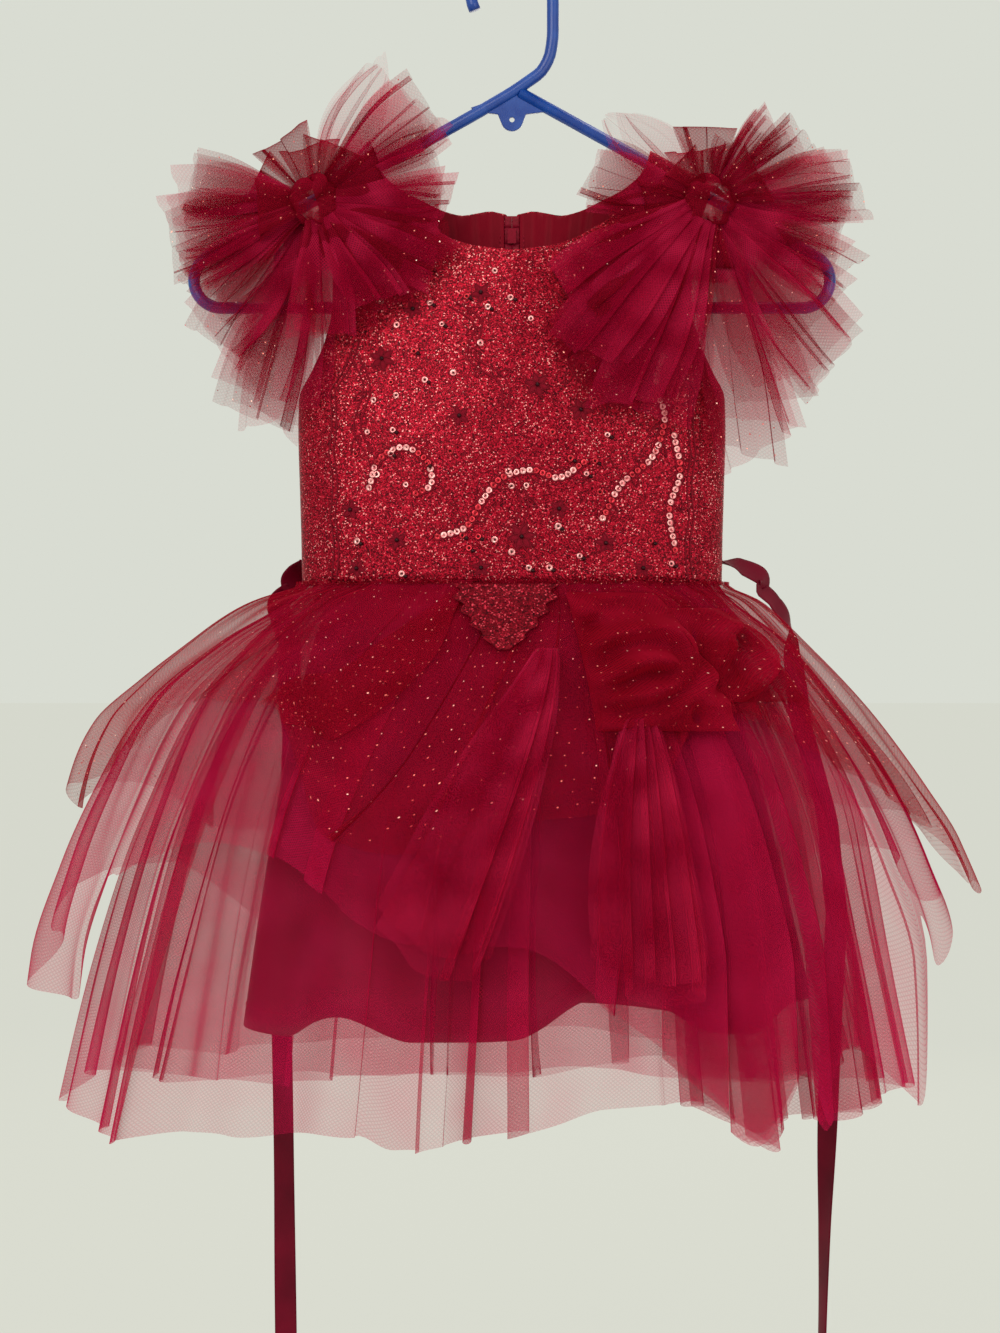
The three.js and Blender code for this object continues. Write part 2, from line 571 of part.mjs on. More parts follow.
function buildOnSkirt() {
  overSheet("lace_point", (v, u) => {
    const half = 12 * (1 - v) ** 0.9 + 0.9;
    return [-1.5 + half * (2 * u - 1), lerp(SKIRT_TOP - 0.6, -457, v), 2.3];
  }, 5, 8, THIN_WALL, finishes.lace);

  for (const row of puffs) {
    const puff = Object.fromEntries(puffColumns.map((key, i) => [key, row[i]]));
    overSheet(puff.name, (v, u) => {
      const hump = (t) => Math.max(Math.sin(Math.PI * t), 0);
      const crown = hump(v) ** 0.8 * hump(u) ** 0.5;
      const crease = 0.16 * Math.sin(2 * Math.PI * puff.folds * (u + 0.35 * v));
      return [
        lerp(puff.from, puff.to, u), lerp(puff.top, puff.bottom, v) + 5 * crown * (1 - v),
        CLEAR_OF_SKIRT + puff.bulge * crown * (1 + crease),
      ];
    }, 6, 3 * puff.folds, TULLE_WALL, finishes.glitterTulle);
  }
  for (const [name, topAngle, hemAngle, topHalf, hemHalf, top, hem, folds] of tails) {
    overSheet(name, (v, u) => {
      const wave = 0.5 + 0.5 * Math.sin(2 * Math.PI * folds * u - 1);
      return [
        lerp(topAngle, hemAngle, v) + lerp(topHalf, hemHalf, v) * (2 * u - 1),
        lerp(top, hem + 16 * Math.sin(Math.PI * folds * u), v), CLEAR_OF_SKIRT + lerp(3, 9, v) * wave,
      ];
    }, 6, 5 * folds, TULLE_WALL, finishes.glitterTulle);
  }
}

// ---- ties ---------------------------------------------------------------------------------------------------------
const tie = { wide: 15.5, end: -985, hang: -640 };
// name, rows of [z, degrees round the skirt], rows of [z, turn of the ribbon in degrees], rows of [z, out from the skirt]
const tieRows = [
  ["sash_left", [[-398, 249], [-410, 247], [-424, 239], [-440, 228], [-460, 221], [-520, 213], [-640, 211], [-985, 209.7]],
    [[-398, 0], [-412, 25], [-440, 0], [-640, 0], [-985, 20]],
    [[-398, 2.9], [-404, 12], [-412, 18], [-424, 13], [-440, 8], [-460, 4], [-500, 4], [-640, 6]]],
  ["sash_right", [[-398, 111], [-424, 112], [-460, 118], [-520, 126], [-640, 134], [-985, 136.8]],
    [[-398, 0], [-399.5, 25], [-401, 60], [-410, 80], [-430, 80], [-450, 45], [-470, 22], [-490, 6], [-520, 0],
      [-640, 0], [-760, 10], [-860, 48], [-985, 60]],
    [[-398, 2.9], [-401, 22], [-410, 40], [-427, 25], [-443, 22], [-460, 13], [-485, 7], [-510, 4], [-640, 6]]],
];

function buildTies() {
  const heights = [
    -398, -399.5, -401, -405, -410, -417, -426, -436, -448, -465, -485, -515, -550, -590, -640, -700, -760, -820, -870,
    -930, -985,
  ];
  for (const [name, path, turns, outs] of tieRows) {
    const angleAt = through(path);
    const turnAt = through(turns);
    const tieOut = through(outs);
    const centre = (z) => {
      const onSkirt = ringPoint("over", angleAt(z), clamp(z, tie.hang, SKIRT_TOP), tieOut(z));
      return onSkirt.setZ(z);
    };
    const middle = [];
    const half = [];
    for (const z of heights) {
      const p = centre(z);
      const along = centre(z - 1).sub(centre(z + 1)).normalize();
      const around0 = ringPoint("over", angleAt(z) + 1, clamp(z, tie.hang, SKIRT_TOP), 5);
      const around1 = ringPoint("over", angleAt(z) - 1, clamp(z, tie.hang, SKIRT_TOP), 5);
      const flat = around0.sub(around1).setZ(0).normalize();
      const across = flat.addScaledVector(along, -flat.dot(along)).normalize().applyAxisAngle(along, radians(turnAt(z)));
      const face = across.clone().cross(along).multiplyScalar(THIN_WALL / 2);
      middle.push([-1, 0, 1].map((s) => p.clone().addScaledVector(across, (s * tie.wide) / 2)));
      half.push([face, face, face]);
    }
    add(name, wall(middle, half), finishes.ribbon);
  }
}

// ---- shoulder ruffles ---------------------------------------------------------------------------------------------
const knot = { x: 128, z: -164, radius: 15, frontSeat: 9.1, backSeat: 8.2, front: 30.4, folds: 7 };
// Each level of fans: where it meets the knot, out from its middle and forward, and its lean per millimetre.
const levels = { low: [16.1, 15.2, 0.02], middle: [16.1, 21.4, 0.07], high: [14.2, 27, 0.17] };
const pleatDepth = [0.9, 3.4];
// name, level, pleats, then rows of [degrees from the right towards up, length]
const fans = {
  left: [
    ["petal", "low", 5, [[100, 40], [80, 66], [64, 101], [52, 96]]],
    ["neck", "middle", 5, [[58, 93], [42, 91], [26, 87], [6, 85]]],
    ["upper", "low", 6, [[160, 68], [170, 84], [183, 97], [199, 96], [206, 88]]],
    ["side", "middle", 4, [[199, 94], [212, 96], [226, 90]]],
    ["lower", "low", 6, [[222, 96], [243, 120], [250, 138], [259, 150], [268, 137]]],
    ["chest", "high", 7, [[2, 85], [-22, 91], [-50, 89], [-75, 85], [-90, 98]]],
  ],
  right: [
    ["petal", "low", 5, [[100, 50], [112, 58], [136, 85], [155, 72]]],
    ["neck", "middle", 4, [[152, 72], [176, 76], [194, 68], [204, 78]]],
    ["upper", "middle", 5, [[86, 32], [60, 46], [47, 67], [22, 72]]],
    ["side", "low", 5, [[22, 86], [13, 98], [-2, 95], [-12, 91], [-26, 86]]],
    ["lower", "middle", 7, [[-24, 84], [-46, 105], [-55, 137], [-66, 152], [-82, 164], [-90, 142]]],
    ["chest", "high", 7, [[200, 95], [211, 108], [221, 126], [232, 138], [243, 152], [256, 147], [266, 140]]],
  ],
};
const backFans = [
  ["back_upper", "low", 5, [[26, 78], [8, 92], [-10, 90], [-24, 84]]],
  ["back_lower", "middle", 6, [[-26, 90], [-48, 108], [-66, 138], [-82, 140]]],
  ["back_shoulder", "middle", 6, [[-96, 110], [-118, 100], [-140, 88], [-160, 80]]],
];

function fanSheet(name, side, facing, level, pleats, rows) {
  const [root, depth, lean] = levels[level];
  const lengthAt = through(rows);
  const from = rows[0][0];
  const to = rows[rows.length - 1][0];
  const columns = range(2 * pleats + 1);
  const reach = [0, 0.5, 1];
  const middle = reach.map((share) =>
    columns.map((i) => {
      const degrees = lerp(from, to, i / (2 * pleats));
      const angle = radians(degrees);
      const length = lerp(root, lengthAt(degrees) - (i % 2 ? 0 : 3), share);
      const pleat = (i % 2 ? 1 : -1) * lerp(...pleatDepth, share);
      const y = depth + lean * (length - root) + pleat;
      return vec(side * knot.x + length * Math.cos(angle), facing * y, knot.z + length * Math.sin(angle));
    }),
  );
  const half = middle.map((row) => row.map(() => vec(0, 0.6, 0)));
  add(name, wall(middle, half), finishes.glitterTulle);
}

// The gathered heads of the fans, bunched into a cup over the shoulder's end.
function knotCup(name, side, facing) {
  const columns = 2 * knot.folds;
  const seat = facing < 0 ? knot.frontSeat : knot.backSeat;
  const deep = knot.front - seat;
  const profile = [[1, 0], [1, 0.62], [0.58, 1], [0.18, 0.93]];
  const middle = profile.map(([r, out]) =>
    range(columns).map((i) => {
      const angle = (i / columns) * 2 * Math.PI;
      const radius = knot.radius * r * (i % 2 ? 1 : 0.9);
      const y = seat + deep * out;
      return vec(side * knot.x + radius * Math.cos(angle), facing * y, knot.z + radius * Math.sin(angle));
    }),
  );
  const half = profile.map(([, out], k) => {
    const next = profile[Math.min(k + 1, profile.length - 1)];
    const before = profile[Math.max(k - 1, 0)];
    const dr = (next[0] - before[0]) * knot.radius;
    const dy = (next[1] - before[1]) * deep;
    const long = Math.hypot(dr, dy);
    return range(columns).map((i) => {
      const angle = (i / columns) * 2 * Math.PI;
      const radial = dy / long;
      return vec(radial * Math.cos(angle), (-facing * dr) / long, radial * Math.sin(angle)).multiplyScalar(0.7);
    });
  });
  add(name, wall(middle, half, true), finishes.glitterTulle);
}

function buildRuffles() {
  for (const [name, side] of [["left", -1], ["right", 1]]) {
    knotCup(`${name}_knot_front`, side, -1);
    knotCup(`${name}_knot_back`, side, 1);
    for (const [fan, level, pleats, rows] of fans[name])
      fanSheet(`${name}_fan_${fan}`, side, -1, level, pleats, rows);
    for (const [fan, level, pleats, rows] of backFans) {
      const turned = side > 0 ? rows : rows.map(([degrees, length]) => [180 - degrees, length]);
      fanSheet(`${name}_fan_${fan}`, side, 1, level, pleats, turned);
    }
  }
}

buildHanger();
buildBodice();
buildZip();
buildSkirts();
buildOnSkirt();
buildTies();
buildRuffles();
export default dress;
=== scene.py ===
import math
import random
import bmesh
import bpy
import numpy as np
from mathutils import Matrix, Vector


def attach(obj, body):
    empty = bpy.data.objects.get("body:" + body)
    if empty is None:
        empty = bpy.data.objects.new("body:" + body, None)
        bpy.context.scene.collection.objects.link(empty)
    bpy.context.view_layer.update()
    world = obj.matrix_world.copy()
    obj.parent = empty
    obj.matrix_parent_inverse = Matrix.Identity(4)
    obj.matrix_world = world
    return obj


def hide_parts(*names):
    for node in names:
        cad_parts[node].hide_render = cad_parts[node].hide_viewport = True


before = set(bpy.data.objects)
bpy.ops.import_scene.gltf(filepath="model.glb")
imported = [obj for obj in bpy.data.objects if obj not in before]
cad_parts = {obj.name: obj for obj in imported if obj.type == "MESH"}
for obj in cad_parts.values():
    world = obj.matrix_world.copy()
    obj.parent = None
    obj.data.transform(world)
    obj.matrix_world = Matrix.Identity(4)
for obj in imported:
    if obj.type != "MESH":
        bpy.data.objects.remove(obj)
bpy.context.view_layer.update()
print("frame loaded:", len(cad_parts), "nodes")

mm = 0.001               # one millimetre in the scene's metres
seamGap = 0.3            # millimetres between neighbouring layers


# a smooth curve through a short table of (place, value)
def through(rows):
    rows = sorted(rows)
    x = np.array([row[0] for row in rows], float)
    y = np.array([row[1] for row in rows], float)
    width = np.diff(x)
    slope = np.diff(y) / width
    tangent = np.empty_like(y)
    tangent[0], tangent[-1] = slope[0], slope[-1]
    before, after = slope[:-1], slope[1:]
    total = np.where(before + after == 0, 1, before + after)
    tangent[1:-1] = np.where(before * after <= 0, 0, 2 * before * after / total)

    def at(value):
        value = np.clip(np.asarray(value, float), x[0], x[-1])
        i = np.clip(np.searchsorted(x, value, side="right") - 1, 0, len(x) - 2)
        t = (value - x[i]) / width[i]
        s = 1 - t
        ends = y[i] * s * s * (1 + 2 * t) + y[i + 1] * t * t * (3 - 2 * t)
        return ends + width[i] * (tangent[i] * t * s * s - tangent[i + 1] * s * t * t)

    return at


# the same for degrees, closed all round
def around(rows):
    closed = through([[degrees + turn, value] for turn in (-360, 0, 360) for degrees, value in rows])
    return lambda degrees: closed(np.mod(degrees, 360))


def lerp(a, b, t):
    return a + (b - a) * t


def smooth(value, low, high):
    t = np.clip((np.asarray(value, float) - low) / (high - low), 0, 1)
    return t * t * (3 - 2 * t)


# soft noise made of a few sines, the same on every run
def ripple(seed, *coordinates):
    dice = random.Random(seed)
    total = 0
    for _ in range(6):
        phase = dice.uniform(0, 6.28)
        wave = sum(dice.uniform(-1, 1) * 2 * c for c in coordinates)
        total = total + np.sin(wave + phase)
    return total / 3.5


# an even line through the corners, its points one step apart
def smoothLine(corners, step=1.4):
    corners = np.asarray(corners, float)
    fine = np.linspace(0, len(corners) - 1, 24 * (len(corners) - 1) + 1)
    line = np.stack([catmull(corners[:, k], fine) for k in range(corners.shape[1])], -1)
    length = np.concatenate([[0], np.cumsum(np.linalg.norm(np.diff(line, axis=0), axis=1))])
    even = np.linspace(0, length[-1], max(int(length[-1] / step), 2) + 1)
    return np.stack([np.interp(even, length, line[:, k]) for k in range(line.shape[1])], -1)


# a curve through evenly spaced values that bends on both sides of each alike
def catmull(values, t):
    padded = np.concatenate([[2 * values[0] - values[1]], values, [2 * values[-1] - values[-2]]])
    i = np.minimum(t.astype(int), len(values) - 2)
    f = t - i
    a, b, c, d = (padded[i + k] for k in range(4))
    return b + 0.5 * f * (c - a + f * (2 * a - 5 * b + 4 * c - d + f * (3 * (b - c) + d - a)))


# four-sided faces between the rows of a grid of points
def gridFaces(rows, columns, closed, start=0, flip=False):
    row = np.arange(rows - 1)[:, None]
    column = np.arange(columns if closed else columns - 1)[None, :]
    nextColumn = (column + 1) % columns
    a = row * columns + column
    b = row * columns + nextColumn
    faces = np.stack([a, b, b + columns, a + columns], -1).reshape(-1, 4) + start
    return faces[:, ::-1] if flip else faces


def meshObject(name, points, faces, loopUv=None):
    mesh = bpy.data.meshes.new(name)
    mesh.vertices.add(len(points))
    mesh.vertices.foreach_set("co", (np.asarray(points) * mm).ravel())
    faces = np.asarray(faces)
    mesh.loops.add(faces.size)
    mesh.loops.foreach_set("vertex_index", faces.ravel())
    mesh.polygons.add(len(faces))
    mesh.polygons.foreach_set("loop_start", np.arange(len(faces)) * 4)
    mesh.update(calc_edges=True)
    if loopUv is not None:
        layer = mesh.uv_layers.new(name="cloth")
        layer.data.foreach_set("uv", (loopUv * mm).ravel())
    mesh.polygons.foreach_set("use_smooth", np.ones(len(faces), bool))
    mesh.validate()
    item = bpy.data.objects.new(name, mesh)
    bpy.context.scene.collection.objects.link(item)
    return item


# lengths along the cloth, so that a pattern lies on it without stretching
def clothLengths(points, closed):
    ring = np.concatenate([points, points[:, :1]], 1) if closed else points
    across = np.linalg.norm(np.diff(ring, axis=1), axis=2)
    down = np.linalg.norm(np.diff(points, axis=0), axis=2)
    return across, down


# places on the flat cloth of each corner of each face; a ring is cut open at its first column
def clothUv(points, faces, closed):
    rows, columns, _ = points.shape
    across, down = clothLengths(points, closed)
    u = np.concatenate([[0], np.cumsum(across.mean(0))])
    v = np.concatenate([[0], np.cumsum(down.mean(1))])
    column = faces % columns
    wraps = closed & (column.max(1) == columns - 1) & (column.min(1) == 0)
    column = np.where(wraps[:, None] & (column == 0), columns, column)
    row = (faces // columns) % rows
    return np.stack([u[column], v[row]], -1).reshape(-1, 2)


def gridNormals(points, closed):
    if closed:
        across = np.roll(points, -1, 1) - np.roll(points, 1, 1)
    else:
        across = np.gradient(points, axis=1)
    down = np.gradient(points, axis=0)
    normal = np.cross(across, down)
    return normal / np.maximum(np.linalg.norm(normal, axis=2, keepdims=True), 1e-9)


# one layer of a net so fine that its thickness does not show; fullness says how much is gathered where
def clothSheet(name, points, closed=False, fullness=1.0):
    rows, columns, _ = points.shape
    faces = gridFaces(rows, columns, closed)
    item = meshObject(name, points.reshape(-1, 3), faces, clothUv(points, faces, closed))
    layer = item.data.attributes.new("fullness", "FLOAT", "POINT")
    layer.data.foreach_set("value", np.broadcast_to(fullness, (rows, columns)).astype(np.float32).ravel())
    return item


# cloth with its thickness: two faces and a rim
def clothWall(name, points, thickness, closed=False, normals=None):
    rows, columns, _ = points.shape
    normals = gridNormals(points, closed) if normals is None else normals
    outer = (points + normals * thickness / 2).reshape(-1, 3)
    inner = (points - normals * thickness / 2).reshape(-1, 3)
    count = rows * columns
    faces = [gridFaces(rows, columns, closed), gridFaces(rows, columns, closed, count, True)]
    spans = columns if closed else columns - 1
    i = np.arange(spans)
    j = (i + 1) % columns
    last = (rows - 1) * columns
    faces.append(np.stack([i, i + count, j + count, j], -1))
    faces.append(np.stack([last + i, last + j, last + j + count, last + i + count], -1))
    if not closed:
        k = np.arange(rows - 1) * columns
        edge = k + columns - 1
        faces.append(np.stack([k, k + columns, k + columns + count, k + count], -1))
        faces.append(np.stack([edge, edge + count, edge + columns + count, edge + columns], -1))
    faces = np.concatenate(faces)
    allPoints = np.concatenate([outer, inner])
    item = meshObject(name, allPoints, faces, clothUv(points, faces, closed))
    if signedVolume(allPoints, faces) < 0:
        item.data.flip_normals()
    return item


def signedVolume(points, faces):
    a, b, c, d = (points[faces[:, k]] for k in range(4))
    return (np.einsum("ij,ij->i", a, np.cross(b, c)) + np.einsum("ij,ij->i", a, np.cross(c, d))).sum()


def sweepTube(points, radius, sides=20):
    points = np.asarray(points, float)
    along = np.gradient(points, axis=0)
    along /= np.linalg.norm(along, axis=1, keepdims=True)
    depth = np.tile([0.0, 1.0, 0.0], (len(points), 1))
    across = np.cross(along, depth)
    turn = np.linspace(0, 2 * math.pi, sides, endpoint=False)
    ring = across[:, None] * np.cos(turn)[None, :, None] + depth[:, None] * np.sin(turn)[None, :, None]
    return points[:, None] + ring * radius


# sRGB hex to the linear colour that a socket takes
def linear(hexColour):
    parts = [int(hexColour[i : i + 2], 16) / 255 for i in (1, 3, 5)]
    return (*[c / 12.92 if c <= 0.04045 else ((c + 0.055) / 1.055) ** 2.4 for c in parts], 1)


def newMaterial(name):
    material = bpy.data.materials.new(name)
    material.use_nodes = True
    material.node_tree.nodes.clear()
    return material


# adds one node: settings are its properties, inputs are values or sockets
def node(tree, kind, inputs=None, **settings):
    made = tree.nodes.new(kind)
    for key, value in settings.items():
        setattr(made, key, value)
    for key, value in (inputs or {}).items():
        if isinstance(value, bpy.types.NodeSocket):
            tree.links.new(value, made.inputs[key])
        else:
            made.inputs[key].default_value = value
    return made


def finishMaterial(tree, surface):
    node(tree, "ShaderNodeOutputMaterial", {"Surface": surface})


# two surfaces mixed: a share of 0 is all first, 1 all second
def mixed(tree, share, first, second):
    return node(tree, "ShaderNodeMixShader", {0: share, 1: first, 2: second}).outputs[0]


# coordinates in millimetres
def millimetres(tree, source):
    coordinates = node(tree, "ShaderNodeTexCoord")
    scaled = node(tree, "ShaderNodeMapping", {"Vector": coordinates.outputs[source], "Scale": (1 / mm,) * 3})
    return scaled.outputs["Vector"]


# a colour ramp: each stop is a place and an sRGB hex colour or a grey value
def ramp(tree, factor, stops):
    made = node(tree, "ShaderNodeValToRGB", {"Fac": factor})
    elements = made.color_ramp.elements
    while len(elements) < len(stops):
        elements.new(0.5)
    for element, (place, colour) in zip(elements, stops):
        element.position = place
        element.color = linear(colour) if isinstance(colour, str) else (colour, colour, colour, 1)
    return made.outputs["Color"]


# one maths node on sockets or numbers
def calc(tree, operation, *values, clamp=False):
    made = node(tree, "ShaderNodeMath", operation=operation, use_clamp=clamp)
    for socket, value in zip(made.inputs, values):
        if isinstance(value, bpy.types.NodeSocket):
            tree.links.new(value, socket)
        else:
            socket.default_value = value
    return made.outputs[0]


wavePeriod = 0.314         # a wave texture of scale 1 repeats after this many units
tulleLook = {
    "net": 1.7,            # mm across a mesh of the net: it is 0.8 mm, drawn coarser so that it shows
    "netTurn": 38,         # degrees between the net and the cut edges
    "grain": 34.0,         # mm, broad uneven density
    "steepest": 0.16,      # cosine past which the net closes up no further as it turns away
    "throughShare": 0.5,   # share of the light that comes through from behind
    "dotEvery": 8.0,       # mm from one foil dot to the next
    "dotRadius": 0.46,
    "dotsDull": 0.3,       # share of the dots drawn as plain net, as if turned away from the lamp: painted shade
}


# soft nylon tulle, warp-knitted net: sheer face on, dense where it turns away and where folds lie together
def tulle(name, colour, pale, thickness, dots=False):
    material = newMaterial(name)
    tree = material.node_tree
    cloth = millimetres(tree, "UV")
    turn = (0, 0, math.radians(tulleLook["netTurn"]))
    crossed = node(tree, "ShaderNodeMapping", {"Vector": cloth, "Rotation": turn}).outputs[0]
    bands = [
        node(tree, "ShaderNodeTexWave", {
            "Vector": crossed, "Scale": wavePeriod / tulleLook["net"], "Detail": 0.0},
            bands_direction=way).outputs["Fac"] for way in "XY"]
    thread = ramp(tree, calc(tree, "MAXIMUM", *bands), [(0.45, 0.6), (0.85, 0.8), (1.0, 1.0)])
    uneven = node(tree, "ShaderNodeTexNoise", {
        "Vector": cloth, "Scale": 1 / tulleLook["grain"], "Detail": 1.0},
        noise_dimensions="2D").outputs["Fac"]
    broad = ramp(tree, uneven, [(0.3, 0.78), (0.7, 1.0)])
    fullness = node(tree, "ShaderNodeAttribute", attribute_name="fullness").outputs["Fac"]
    facing = node(tree, "ShaderNodeLayerWeight", {"Blend": 0.5}).outputs["Facing"]
    slant = calc(tree, "MAXIMUM", calc(tree, "SUBTRACT", 1.0, facing), tulleLook["steepest"])
    gathered = calc(tree, "MULTIPLY", fullness, thickness)
    weave = calc(tree, "MULTIPLY", calc(tree, "MULTIPLY", thread, broad), gathered)
    depth = calc(tree, "DIVIDE", weave, slant)
    alpha = calc(tree, "SUBTRACT", 1.0, calc(tree, "EXPONENT", calc(tree, "MULTIPLY", depth, -1.0)))
    tint = ramp(tree, uneven, [(0.3, colour), (0.75, pale)])
    if dots:
        shade = node(tree, "ShaderNodeBsdfPrincipled", {
            "Base Color": tint, "Roughness": 0.8, "Specular IOR Level": 0.06, "Sheen Weight": 0.2,
            "Sheen Roughness": 0.5, "Sheen Tint": linear(pale)})
    else:
        shade = node(tree, "ShaderNodeBsdfDiffuse", {"Color": tint})
    passing = node(tree, "ShaderNodeBsdfTranslucent", {"Color": tint})
    body = mixed(tree, tulleLook["throughShare"], shade.outputs[0], passing.outputs[0])
    if dots:
        lit, speck = foilDots(tree, cloth)
        body = mixed(tree, lit, body, speck)
        alpha = calc(tree, "MAXIMUM", alpha, lit)
    clear = node(tree, "ShaderNodeBsdfTransparent")
    finishMaterial(tree, mixed(tree, alpha, clear.outputs[0], body))
    return material


# foil dots glued to the net, of uneven size, with painted glints over a real metallic finish: where they
# show, and their surface
def foilDots(tree, cloth):
    every, radius = tulleLook["dotEvery"], tulleLook["dotRadius"]
    cells = node(tree, "ShaderNodeTexVoronoi", {
        "Vector": cloth, "Scale": 1 / every, "Randomness": 0.5}, voronoi_dimensions="2D")
    lot = node(tree, "ShaderNodeSeparateColor", {"Color": cells.outputs["Color"]})
    size = calc(tree, "MULTIPLY_ADD", lot.outputs[0], 0.5 * radius, 0.55 * radius)
    inside = calc(tree, "LESS_THAN", calc(tree, "MULTIPLY", cells.outputs["Distance"], every), size)
    # painted glint and painted shade: a random share of the dots is drawn as lit, the rest as plain net
    paintedGlintMask = calc(tree, "GREATER_THAN", lot.outputs[1], tulleLook["dotsDull"])
    # painted glint: the palest stops stand in for lamp light caught by the foil
    foil = ramp(tree, lot.outputs[1], [
        (0.35, "#9c1c26"), (0.65, "#c8504a"), (0.85, "#ff9f8c"), (1.0, "#ffe3d6")])
    speck = node(tree, "ShaderNodeBsdfPrincipled", {"Base Color": foil, "Roughness": 0.35, "Metallic": 0.35})
    return calc(tree, "MULTIPLY", inside, paintedGlintMask), speck.outputs[0]


# metallic-yarn glitter knit: each cell, flake mm across, is one flake with a real metallic finish and bump;
# its colour is painted light, painted shade on the darkest flakes and painted glints on the palest
def glitterKnit(name, flake, dark="#3a0310", base="#88081d", bright="#b8122e", spark="#ffa4a2"):
    material = newMaterial(name)
    tree = material.node_tree
    place = millimetres(tree, "Object")
    cells = node(tree, "ShaderNodeTexVoronoi", {"Vector": place, "Scale": 1 / flake, "Randomness": 1.0})
    lot = node(tree, "ShaderNodeSeparateColor", {"Color": cells.outputs["Color"]})
    broad = node(tree, "ShaderNodeTexNoise", {"Vector": place, "Scale": 0.05, "Detail": 3.0}).outputs["Fac"]
    patchy = calc(tree, "MULTIPLY", calc(tree, "SUBTRACT", broad, 0.5), 0.16)
    pick = calc(tree, "ADD", lot.outputs[0], patchy, clamp=True)
    # painted shade and painted glints: the colour of each flake stands in for how it catches the lamp; the
    # broad patches are uneven tone
    colour = ramp(tree, pick, [
        (0.0, dark), (0.25, "#5c0412"), (0.5, base), (0.88, bright), (0.955, "#d8384e"), (1.0, spark)])
    bump = node(tree, "ShaderNodeBump", {"Height": lot.outputs[1], "Strength": 0.8, "Distance": 0.0006})
    shade = node(tree, "ShaderNodeBsdfPrincipled", {
        "Base Color": colour, "Metallic": ramp(tree, lot.outputs[2], [(0.3, 0.1), (0.8, 0.6)]),
        "Specular IOR Level": 0.08, "Roughness": ramp(tree, lot.outputs[1], [(0.0, 0.25), (1.0, 0.6)]),
        "Normal": bump.outputs[0]})
    finishMaterial(tree, shade.outputs[0])
    return material


# woven filament satin: long floats, rib mm apart and drawn coarser than they are, give a band of shine
def satin(name, colour, light, roughness, gloss=0.3, rib=0.7):
    material = newMaterial(name)
    tree = material.node_tree
    cloth = millimetres(tree, "UV")
    floats = node(tree, "ShaderNodeTexWave", {
        "Vector": cloth, "Scale": 0.32 / rib, "Distortion": 0.6, "Detail": 1.0},
        wave_type="BANDS", bands_direction="Y").outputs["Fac"]
    uneven = node(tree, "ShaderNodeTexNoise", {"Vector": cloth, "Scale": 0.03, "Detail": 4.0}).outputs["Fac"]
    bump = node(tree, "ShaderNodeBump", {"Height": floats, "Strength": 0.12, "Distance": 0.0002})
    shade = node(tree, "ShaderNodeBsdfPrincipled", {
        "Base Color": ramp(tree, uneven, [(0.3, colour), (0.7, light)]), "Roughness": roughness,
        "Specular IOR Level": gloss, "Anisotropic": 0.4, "Sheen Weight": 0.3 * gloss,
        "Sheen Tint": linear(light), "Normal": bump.outputs[0]})
    finishMaterial(tree, shade.outputs[0])
    return material


# injection-moulded polypropylene: glossy with faint flow marks
def mouldedPlastic(name, colour, light):
    material = newMaterial(name)
    tree = material.node_tree
    place = millimetres(tree, "Object")
    flow = node(tree, "ShaderNodeTexNoise", {"Vector": place, "Scale": 0.06, "Detail": 4.0}).outputs["Fac"]
    grain = node(tree, "ShaderNodeTexNoise", {"Vector": place, "Scale": 0.7, "Detail": 2.0}).outputs["Fac"]
    bump = node(tree, "ShaderNodeBump", {"Height": grain, "Strength": 0.08, "Distance": 0.0003})
    shade = node(tree, "ShaderNodeBsdfPrincipled", {
        "Base Color": ramp(tree, flow, [(0.35, colour), (0.7, light)]),
        "Roughness": ramp(tree, flow, [(0.3, 0.24), (0.7, 0.36)]), "Normal": bump.outputs[0],
        "IOR": 1.49, "Subsurface Weight": 0.05, "Subsurface Scale": 0.003})
    finishMaterial(tree, shade.outputs[0])
    return material


# one even colour with a fine grain and a slight bump: label, thread, dyed nylon, sequin film, lacquer
def plain(name, colour, light, roughness, metallic=0.0, grain=0.8):
    material = newMaterial(name)
    tree = material.node_tree
    place = millimetres(tree, "Object")
    fine = node(tree, "ShaderNodeTexNoise", {"Vector": place, "Scale": grain, "Detail": 3.0}).outputs["Fac"]
    bump = node(tree, "ShaderNodeBump", {"Height": fine, "Strength": 0.25, "Distance": 0.0002})
    shade = node(tree, "ShaderNodeBsdfPrincipled", {
        "Base Color": ramp(tree, fine, [(0.35, colour), (0.7, light)]), "Roughness": roughness,
        "Metallic": metallic, "Specular IOR Level": 0.15, "Normal": bump.outputs[0]})
    finishMaterial(tree, shade.outputs[0])
    return material


# matt paper that gives back the even light of the room
def studioPaper(name, colour):
    material = newMaterial(name)
    tree = material.node_tree
    matt = node(tree, "ShaderNodeBsdfDiffuse", {"Color": linear(colour)})
    even = node(tree, "ShaderNodeEmission", {"Color": linear(colour), "Strength": 0.93})
    finishMaterial(tree, mixed(tree, 0.92, matt.outputs[0], even.outputs[0]))
    return material


